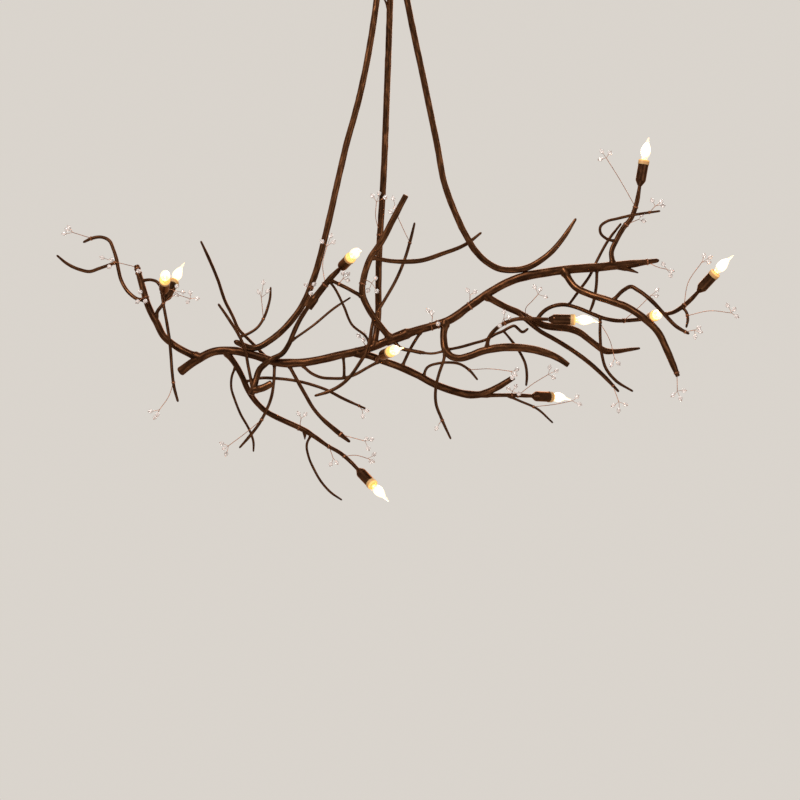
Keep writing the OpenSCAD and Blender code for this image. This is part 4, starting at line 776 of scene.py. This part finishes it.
def add_glass(skin, place, turn):
    """Blown glass: an outer and an inner wall of circles of the outline's radius on the bent middle line,
    drawn out to a solid tip."""
    foot, axes = place
    outline = smooth_through(GLASS_OUTLINE * [GLASS_R, GLASS_H], 44)
    drawn = TIP_L * 0.9
    tip_z = GLASS_H + np.linspace(0, 1, 12)[1:] * drawn
    tip_r = outline[-1, 0] * (1 - (tip_z - GLASS_H) / (drawn + 1.2)) ** 0.8 + TIP_END_R
    outer = np.vstack([outline, np.column_stack([tip_r, tip_z])])
    inner = (outline - [GLASS_WALL, 0])[::-1][2:]
    heights = np.linspace(0, 70, 141)
    slope = np.gradient(bulb_line(turn, heights), axis=0)
    sides = 36
    angle = 2 * np.pi * np.arange(sides)[None, :, None] / sides
    walls = []
    for wall, open_end in ((outer, 1), (inner, 2)):
        r, z = wall[:, 0, None, None], wall[:, 1]
        direction = unit(np.column_stack([np.interp(z, heights, part) for part in slope.T]))
        across = unit(np.cross([-np.sin(turn), np.cos(turn), 0], direction))
        up = np.cross(direction, across)
        rings = bulb_line(turn, z)[:, None] + r * (np.cos(angle) * across[:, None]
                                                   + np.sin(angle) * up[:, None])
        local = np.vstack([rings.reshape(-1, 3), rings[[0, -1]].mean(1)]) + [0, 0, GLASS_Z]
        faces = grid_faces(len(wall), sides)
        faces.pop(open_end)
        walls.append(skin.count)
        skin.add(foot + local @ axes, faces, grain=local,
                 level=np.append(np.repeat(z, sides), z[[0, -1]]) / (GLASS_H + TIP_L))
    # the neck's edge joins both walls
    skin.faces.append(band(walls[1] + (len(inner) - 1) * sides, walls[0], sides))


def add_filament(skin, glass_skin, place):
    """Glass stem with two lead wires and a coil between them: the coil is a helix round the arc that joins
    the leads."""
    foot, axes = place
    neck = np.array([0, 0, GLASS_Z])
    lathe(glass_skin, place, softened(STEM_OUTLINE + [0, GLASS_Z], 0.8, closed=False), 20, closed=False)
    for sign in (-1, 1):
        path = np.array([(sign * x, 0, z, 1) for x, z in LEAD], float)
        path = on_curve(path, np.linspace(0, len(LEAD) - 1, 24))[0]
        sweep(skin, foot + (path + neck) @ axes, LEAD_R, 6)
    t = np.linspace(0, 1, 240)
    half, top = LEAD[-1]
    middle = np.column_stack([half * np.cos(np.pi * (1 - t)), 0 * t, top + COIL_RISE * np.sin(np.pi * t)])
    a = 2 * np.pi * COIL_TURNS * t
    coil = middle + COIL_R * np.column_stack([0 * t, np.cos(a), np.sin(a)])
    sweep(skin, foot + (coil + neck) @ axes, COIL_WIRE_R, 5)


# ---- Sprigs ---------------------------------------------------------------------------------------

STRAND_R, TWIST_R, TWIST = 0.55, 0.48, 6.5  # two strands round each other, one turn in this length
WIRE_STEP = 0.9
WRAPS, WRAP_PITCH, WRAP_LIFT = 3.2, 1.25, 1.06  # the wraps clear the bark's ridges
BEAD_R, PIN_R, PIN_OUT, SPOKE_BOW = 6, 1, 0.5, 0.05


def add_twisted(skin, path):
    """Two strands wound round a line: the line + r(cos a, sin a) across it, with a = 2 pi s / twist."""
    centre, _, s = evenly(path, WIRE_STEP)
    side, up = cross_frame(unit(np.gradient(centre, axis=0)))
    for half in (0, np.pi):
        a = (2 * np.pi * s / TWIST + half)[:, None]
        sweep(skin, centre + TWIST_R * (np.cos(a) * side + np.sin(a) * up), STRAND_R, 5)


def add_wrap(skin, name, point):
    """A wire wound round the branch near a point: the branch's line + (radius + wire)(cos a, sin a) across
    it, with a from the point's own side, half of the turns to each side of it."""
    line, radius = lines[name]
    i = int(np.clip(np.linalg.norm(line - point, axis=1).argmin(), 4, len(line) - 5))
    direction = unit(line[i + 3] - line[i - 3])
    side, up = (v[0] for v in cross_frame(direction[None]))
    out = point - line[i]
    t = np.linspace(-0.5, 0.5, 90)[:, None]
    a = np.arctan2(out @ up, out @ side) + 2 * np.pi * WRAPS * t
    loop = (radius[i] * WRAP_LIFT + STRAND_R) * (np.cos(a) * side + np.sin(a) * up)
    sweep(skin, line[i] + WRAP_PITCH * WRAPS * t * direction + loop, STRAND_R, 5)


def bead_shape(sides=8, rows=(-64, -22, 22, 64)):
    """Cut bead of unit radius: rows of corners at these latitudes, each turned half a facet from the last."""
    latitude = np.radians(rows)[:, None]
    angle = 2 * np.pi * (np.arange(sides) + 0.5 * (np.arange(len(rows))[:, None] % 2)) / sides
    points = np.stack([np.cos(latitude) * np.cos(angle), np.cos(latitude) * np.sin(angle),
                       np.sin(latitude) + 0 * angle], axis=-1).reshape(-1, 3)
    s = np.arange(sides)
    after = (s + 1) % sides
    faces = []
    for j in range(len(rows) - 1):
        low, high = j * sides, (j + 1) * sides
        near, far = (s, after) if j % 2 == 0 else (after, s)
        faces += [np.stack([low + s, low + after, high + near], 1),
                  np.stack([low + far, high + after, high + s], 1)]
    return points, faces + [s[::-1][None], (len(rows) - 1) * sides + s[None]]


BEAD_POINTS, BEAD_FACES = bead_shape()


def add_bead(skin, wire_skin, middle, root):
    """A cut bead on its spoke, which runs from the wire's end through the bead, bowed to one side by
    bow * length * sin(pi t), and ends in a small ball."""
    axis = unit(middle - root)
    side, up = (v[0] for v in cross_frame(axis[None]))
    skin.add(middle + BEAD_R * BEAD_POINTS @ np.array([side, up, axis]), BEAD_FACES)
    end = middle + axis * (BEAD_R + PIN_OUT)
    t = np.linspace(0, 1, 12)[:, None]
    bow = SPOKE_BOW * np.linalg.norm(end - root) * np.sin(np.pi * t) * side
    sweep(wire_skin, (1 - t) * root + t * end + bow, STRAND_R, 6)
    x = np.linspace(-1, 1, 7)
    sweep(wire_skin, end + PIN_R * x[:, None] * axis, PIN_R * np.sqrt(np.clip(1 - x ** 2, 0.02, 1)), 8)


# ---- Materials ------------------------------------------------------------------------------------

class Nodes:
    """Short-hand for a node tree: new() makes a node, sets it and links or fills its inputs."""

    def __init__(self, tree):
        self.tree = tree

    def new(self, kind, inputs=(), **settings):
        node = self.tree.nodes.new("ShaderNode" + kind)
        for key, value in settings.items():
            setattr(node, key, value)
        for key, value in dict(inputs).items():
            self.fill(node.inputs[key], value)
        return node

    def fill(self, socket, value):
        if isinstance(value, bpy.types.NodeSocket):
            self.tree.links.new(value, socket)
        else:
            socket.default_value = value

    def math(self, operation, a, b=0.0, clamp=False):
        return self.new("Math", {0: a, 1: b}, operation=operation, use_clamp=clamp).outputs[0]

    def plus(self, a, value, middle, share, clamp=False):
        """a + share * (value - middle)"""
        change = self.math("MULTIPLY", self.math("SUBTRACT", value, middle), share)
        return self.math("ADD", a, change, clamp)

    def mix(self, factor, a, b):
        return self.new("Mix", {0: factor, 6: a, 7: b}, data_type="RGBA").outputs[2]

    def ramp(self, value, low, high, to=(0.0, 1.0)):
        return self.new("MapRange", {0: value, 1: low, 2: high, 3: to[0], 4: to[1]},
                        interpolation_type="SMOOTHSTEP").outputs[0]

    def noise(self, vector, scale, detail=3.0, roughness=0.55, distortion=0.0):
        return self.new("TexNoise", {"Vector": vector, "Scale": scale, "Detail": detail,
                                     "Roughness": roughness, "Distortion": distortion}).outputs["Fac"]

    def attribute(self, name, output="Fac"):
        return self.new("Attribute", attribute_name=name).outputs[output]

    def place(self):
        return self.new("TexCoord").outputs["Object"]


def group(name, inputs, outputs):
    """An empty shader node group with these sockets, its nodes, and what it is given."""
    tree = bpy.data.node_groups.new(name, "ShaderNodeTree")
    kinds = {"color": "NodeSocketColor", "value": "NodeSocketFloat"}
    for way, sockets in (("INPUT", inputs), ("OUTPUT", outputs)):
        for label, kind in sockets.items():
            tree.interface.new_socket(label, in_out=way, socket_type=kinds[kind])
    return tree, Nodes(tree), tree.nodes.new("NodeGroupInput").outputs


def finish_group(tree, results):
    """Links each result to the group's output of that name."""
    ends = tree.nodes.new("NodeGroupOutput")
    for label, socket in results.items():
        tree.links.new(socket, ends.inputs[label])
    return tree


SKIN_OUTPUTS = {"Color": "color", "Roughness": "value", "Height": "value"}


def forged_group():
    """Worn bronze over bark: dark in the furrows, the body colour between, and rubbed bright on the ridges,
    by smooth steps of the relief, fine streaks along the branch and large patches."""
    tree, n, given = group("forged_finish", {"Dark": "color", "Body": "color", "Bright": "color"},
                           SKIN_OUTPUTS)
    grain = n.attribute("grain", "Vector")
    streak = n.noise(grain, scale=420, detail=4, roughness=0.6, distortion=0.3)
    fine = n.noise(grain, scale=1700, roughness=0.65)
    patch = n.noise(n.place(), scale=11, distortion=0.6)
    level = n.plus(n.plus(n.attribute("relief"), streak, 0.5, 0.8), patch, 0.5, 0.9)
    rubbed = n.math("MULTIPLY", n.ramp(level, 0.45, 1.0), n.ramp(fine, 0.25, 0.65))
    color = n.mix(n.ramp(level, 0.05, 0.6), given["Dark"], given["Body"])
    color = n.mix(rubbed, color, given["Bright"])
    rough = n.plus(n.plus(0.38, rubbed, 0.0, -0.08), fine, 0.5, 0.25)
    height = n.math("ADD", n.math("MULTIPLY", streak, 0.75), n.math("MULTIPLY", fine, 0.25))
    return finish_group(tree, {"Color": color, "Roughness": rough, "Height": height})


def plain_group():
    """Even finishes: two tones mixed by soft clouds, with fine grain in roughness and height."""
    tree, n, given = group("plain_finish", {"Low": "color", "High": "color", "Gloss": "value"}, SKIN_OUTPUTS)
    place = n.place()
    cloud = n.noise(place, scale=45, distortion=0.3)
    fine = n.noise(place, scale=900, roughness=0.6)
    tone = n.math("ADD", cloud, n.math("MULTIPLY", fine, 0.25))
    color = n.mix(n.ramp(tone, 0.4, 0.85), given["Low"], given["High"])
    rough = n.plus(n.plus(given["Gloss"], cloud, 0.5, 0.25), fine, 0.5, 0.12, clamp=True)
    height = n.math("ADD", n.math("MULTIPLY", cloud, 0.3), n.math("MULTIPLY", fine, 0.7))
    return finish_group(tree, {"Color": color, "Roughness": rough, "Height": height})


def glow_group():
    """Light of a lamp along its height: amber at the foot, warm white where the filament is and fading to the
    tip, by smooth steps of the level attribute. On the sockets, which are no lamps, it is painted light: the
    bulb's glow painted on to the collar."""
    tree, n, given = group("lamp_glow", {"Foot": "color", "Heart": "color", "Tip": "color"},
                           {"Color": "color"})
    level = n.attribute("level")
    color = n.mix(n.ramp(level, 0.05, 0.3), given["Foot"], given["Heart"])
    return finish_group(tree, {"Color": n.mix(n.ramp(level, 0.55, 0.95), color, given["Tip"])})


FORGED, PLAIN, GLOW = forged_group(), plain_group(), glow_group()


def rgb(r, g, b):
    return (r, g, b, 1.0)


def material(name, tree, given, bump, distance, glow=None, **settings):
    """A material whose colour, roughness and bump come from one of the groups. A glow fades to its foot's
    colour at the edges of a rounded piece. A glow is a lamp's own light on the bulbs and filaments, and
    painted light of the bulb on the sockets."""
    m = bpy.data.materials.new(name)
    m.use_nodes = True
    n = Nodes(m.node_tree)
    shader = m.node_tree.nodes["Principled BSDF"].inputs
    skin = n.new("Group", given, node_tree=tree).outputs
    bumped = n.new("Bump", {"Height": skin["Height"], "Strength": bump, "Distance": distance})
    n.fill(shader["Base Color"], skin["Color"])
    n.fill(shader["Roughness"], skin["Roughness"])
    n.fill(shader["Normal"], bumped.outputs["Normal"])
    if glow:
        edge = n.ramp(n.new("LayerWeight", {"Blend": 0.5}).outputs["Facing"], 0.35, 1.0)
        light = n.new("Group", glow, node_tree=GLOW).outputs["Color"]
        n.fill(shader["Emission Color"], n.mix(edge, light, glow["Foot"]))
    for label, value in settings.items():
        n.fill(shader[label.replace("_", " ")], value)
    return m


def forged(name, dark, body, bright):
    given = {"Dark": rgb(*dark), "Body": rgb(*body), "Bright": rgb(*bright)}
    return material(name, FORGED, given, bump=0.35, distance=0.0005, Metallic=0.8, Specular_Tint=WARM)


def plain(name, low, high, gloss, bump=0.1, distance=0.0002, **settings):
    return material(name, PLAIN, {"Low": rgb(*low), "High": rgb(*high), "Gloss": gloss}, bump, distance,
                    **settings)


def lit(foot, heart, tip):
    return {"Foot": rgb(*foot), "Heart": rgb(*heart), "Tip": rgb(*tip)}


WARM = rgb(1, 0.56, 0.34)  # colour of the metal where it is seen at a flat angle
FINISH = {
    "bronze": forged("dark_bronze", (0.009, 0.0032, 0.0012), (0.036, 0.0125, 0.0045), (0.15, 0.06, 0.024)),
    "brown_bronze": forged("brown_bronze", (0.011, 0.0042, 0.0016), (0.047, 0.0175, 0.0065),
                           (0.18, 0.072, 0.029)),
    "cup_metal": plain("cup_metal", (0.024, 0.0095, 0.004), (0.066, 0.027, 0.012), 0.26, Metallic=0.85,
                       Specular_Tint=WARM),
    "brass": plain("brass", (0.55, 0.36, 0.13), (0.78, 0.55, 0.24), 0.32, Metallic=1.0),
    "copper_wire": plain("copper_wire", (0.22, 0.08, 0.035), (0.5, 0.21, 0.1), 0.36, bump=0.15,
                         Metallic=0.85),
    # Painted light: the sockets' emission is the bulb's glow painted on to the collar. It is black below the
    # cup's rim and amber towards the collar's top, and strongest where the collar faces the camera.
    "socket": plain("socket", (0.42, 0.24, 0.09), (0.55, 0.36, 0.16), 0.5, Emission_Strength=1.0,
                    glow=lit((0, 0, 0), (0.15, 0.04, 0), (1, 0.5, 0.12))),
    "crystal": plain("crystal", (0.93, 0.84, 0.81), (0.98, 0.92, 0.9), 0.12, bump=0.05, distance=0.0001,
                     Transmission_Weight=0.45, IOR=1.5),
    "bulb_glass": plain("bulb_glass", (0.98, 0.93, 0.85), (1.0, 0.98, 0.95), 0.07, bump=0.03,
                        distance=0.0001, Transmission_Weight=1.0, IOR=1.45, Emission_Strength=1.0,
                        glow=lit((0.5, 0.16, 0.02), (0.6, 0.43, 0.2), (0.5, 0.32, 0.12))),
}
FILAMENT = plain("filament", (0.3, 0.25, 0.2), (0.4, 0.35, 0.3), 0.4, bump=0.05, distance=0.0001,
                 Emission_Strength=30.0, glow=lit((1, 0.5, 0.16), (1, 0.86, 0.62), (1, 0.86, 0.62)))


# ---- The pieces -----------------------------------------------------------------------------------

def place_piece(skin, name, slot, nodes, body=TREE, smooth=True, finish=None):
    """Builds a skin as the piece that stands for these CAD nodes and rides on a body."""
    piece = skin.build(name, finish or FINISH[slot], smooth)
    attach(piece, body)
    if nodes:
        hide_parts(*nodes)


seed = 0
for node_name, (names, slot_name) in GROUPS.items():
    branch_skin = Skin()
    for branch_name in names:
        seed += 1
        add_branch(branch_skin, branch_name, seed)
    place_piece(branch_skin, node_name + "_bark", slot_name, [node_name])

cups, sockets = Skin(), Skin()
for number, (arm, tip_turn) in enumerate(LAMPS, 1):
    place = lamp_frame(arm)
    add_cup(cups, place)
    add_socket(sockets, place)
    glass, wires, base = Skin(), Skin(), Skin()
    add_glass(glass, place, np.radians(tip_turn))
    add_filament(wires, glass, place)
    add_base(base, place)
    bulb = f"bulb_{number}"
    place_piece(glass, f"flame_glass_{number}", "bulb_glass", [f"bulb_glass_{number}"], bulb)
    place_piece(wires, f"filament_{number}", "brass", [], bulb, finish=FILAMENT)
    place_piece(base, f"screw_shell_{number}", "brass", [f"bulb_base_{number}"], bulb)
place_piece(cups, "spun_cups", "cup_metal", ["lamp_cups"])
place_piece(sockets, "collared_sockets", "socket", ["lamp_sockets"])

wire_skin, bead_skin = Skin(), Skin()
for parent, wire_points, beads in SPRIGS:
    path = route_of(wire_points, routes[parent])
    add_wrap(wire_skin, parent, path[0, :3])
    add_twisted(wire_skin, path)
    for x, y, z in beads:
        add_bead(bead_skin, wire_skin, np.array([x, y, z - DROP], float), path[-1, :3])
place_piece(wire_skin, "twisted_wire", "copper_wire", ["sprig_wires"])
place_piece(bead_skin, "cut_beads", "crystal", ["crystal_beads"], smooth=False)

# Sizes of the ceiling pieces, and depths below the ceiling, as in the CAD model
CANOPY_R, CANOPY_H, CANOPY_WALL, HOLE_R = 76, 34, 1.2, 5.2
BEAD_H, BEAD_OUT, HOLE_FLAT_R = 3, 0.4, 7  # the canopy's rolled edge and the flat round its hole
RING_R, RING_Z, RING_H, KNURLS, KNURL_DEPTH = 14, 34.2, 7, 40, 0.35
HUB_R, HUB_Z, HUB_H, HUB_EDGE = 42, 41.4, 26, 5


def dome(radius, height):
    """Quarter of an ellipse from the middle of the canopy's foot to its rim."""
    a = np.radians(np.arange(84, -1, -4))
    return list(zip(radius * np.cos(a), -BEAD_H - (height - BEAD_H) * np.sin(a)))


def add_canopy(skin):
    """Spun canopy: an outer and an inner dome, joined by the rolled edge above and the hole below."""
    edge = CANOPY_R + BEAD_OUT
    lathe(skin, UPRIGHT, [
        (HOLE_R, -CANOPY_H), (HOLE_FLAT_R, -CANOPY_H), *dome(CANOPY_R, CANOPY_H), (edge, -2.2), (edge, -0.8),
        (CANOPY_R, 0), (CANOPY_R - CANOPY_WALL, 0),
        *dome(CANOPY_R - CANOPY_WALL, CANOPY_H - CANOPY_WALL)[::-1],
        (HOLE_FLAT_R, CANOPY_WALL - CANOPY_H), (HOLE_R, CANOPY_WALL - CANOPY_H)], 96)


def add_ring(skin):
    """Threaded ring under the canopy, with ridges across its rim: depth * cos(n a) between its two edges."""
    foot, top = -RING_Z - RING_H, -RING_Z

    def knurl(height, angle):
        inside = np.clip((height - foot - 0.8) / 0.6, 0, 1) * np.clip((top - 2 - height) / 0.6, 0, 1)
        return KNURL_DEPTH * inside * np.cos(KNURLS * angle)

    lathe(skin, UPRIGHT, softened([(HOLE_R, foot), (RING_R - 0.8, foot), (RING_R, foot + 0.8),
                                   (RING_R, foot + 2.5), (RING_R, top - 2), (RING_R - 2, top),
                                   (HOLE_R, top)], 0.3), 160, ripple=knurl)


def add_hub(skin):
    """Round hub with soft edges, whose upper side slopes in."""
    foot, top = -HUB_Z - HUB_H, -HUB_Z
    lathe(skin, UPRIGHT, softened([
        (0, foot), (HUB_R - HUB_EDGE, foot), (HUB_R, foot + HUB_EDGE), (HUB_R, top - HUB_EDGE),
        (HUB_R - 2 * HUB_EDGE, top), (0, top)], 3, 6, closed=False), 96, closed=False)


for add_turned, piece_name, node_name in (
        (add_canopy, "spun_canopy", "canopy"), (add_ring, "knurled_ring", "canopy_ring"),
        (add_hub, "turned_hub", "stem_hub")):
    turned_skin = Skin()
    add_turned(turned_skin)
    place_piece(turned_skin, piece_name, "bronze", [node_name])

# What stays as the CAD model has it gets its finish only
for name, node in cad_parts.items():
    if name.startswith(("mounting_bar", "centre_tube", "tube_nut", "lamp_nipples", "socket_contacts",
                        "bulb_contact")):
        node.data.materials.clear()
        node.data.materials.append(FINISH["brass"])


# ---- Floor, light and camera ----------------------------------------------------------------------

FLOOR_Z, FLOOR_R, FADE_FROM, FADE_TO = -2.6, 2.3, 1.0, 2.25
LIT_AT = Vector((0, 0, -1))  # where all lights point


def add_floor():
    """A pale round floor below the lamp, which fades out towards its edge and isn't seen from below."""
    a = np.linspace(0, 2 * np.pi, 96, endpoint=False)
    rim = FLOOR_R * np.column_stack([np.cos(a), np.sin(a)])
    mesh = bpy.data.meshes.new("floor")
    mesh.from_pydata([(x, y, FLOOR_Z) for x, y in rim], [], [list(range(len(rim)))])
    m = bpy.data.materials.new("pale_floor")
    m.use_nodes = True
    n = Nodes(m.node_tree)
    shader = m.node_tree.nodes["Principled BSDF"].inputs
    flat = n.new("VectorMath", {0: n.place(), 1: (1, 1, 0)}, operation="MULTIPLY").outputs[0]
    away = n.new("VectorMath", {0: flat}, operation="LENGTH").outputs["Value"]
    above = n.math("SUBTRACT", 1.0, n.new("NewGeometry").outputs["Backfacing"])
    cloud = n.noise(n.place(), scale=3)
    n.fill(shader["Base Color"], n.mix(cloud, rgb(0.76, 0.72, 0.66), rgb(0.84, 0.79, 0.73)))
    n.fill(shader["Roughness"], n.ramp(cloud, 0, 1, (0.7, 0.9)))
    n.fill(shader["Alpha"], n.math("MULTIPLY", n.ramp(away, FADE_FROM, FADE_TO, (1.0, 0.0)), above))
    mesh.materials.append(m)
    add_to_scene("floor", mesh)


def add_light(name, place, size, power, color=(1.0, 0.97, 0.93)):
    """A soft square light that shines at the middle of the lamp."""
    data = bpy.data.lights.new(name, "AREA")
    data.size, data.energy, data.color = size, power, color
    light = add_to_scene(name, data)
    light.location = place
    light.rotation_euler = (LIT_AT - light.location).to_track_quat("-Z", "Y").to_euler()
    light.visible_camera = False


def set_world():
    """Pale where the camera looks at it, straight or in glass and metal, and dimmer as a light."""
    world = bpy.data.worlds.new("studio")
    bpy.context.scene.world = world
    world.use_nodes = True
    n = Nodes(world.node_tree)
    rays = n.new("LightPath").outputs
    seen = n.math("MAXIMUM", rays["Is Camera Ray"], rays["Is Transmission Ray"])
    seen = n.math("MAXIMUM", seen, rays["Is Glossy Ray"])
    n.fill(world.node_tree.nodes["Background"].inputs["Color"],
           n.mix(seen, rgb(0.22, 0.21, 0.2), rgb(0.7, 0.66, 0.61)))


add_floor()
set_world()
add_light("key", (-1.5, -3.0, 1.6), 1.6, 150)
add_light("fill", (2.8, -3.0, -0.9), 2.6, 40)
add_light("back", (0.8, 3.0, 0.6), 2.0, 45)
add_light("under", (0.0, -1.4, -2.5), 1.6, 10, (1.0, 0.9, 0.8))

camera_data = bpy.data.cameras.new("camera")
camera_data.sensor_width, camera_data.lens = 36, 126
camera = add_to_scene("camera", camera_data)
camera.location, camera.rotation_euler = (0.025, -7, -1.15), (np.pi / 2, 0, 0)
bpy.context.scene.camera = camera
bpy.context.scene.view_settings.view_transform = "Standard"
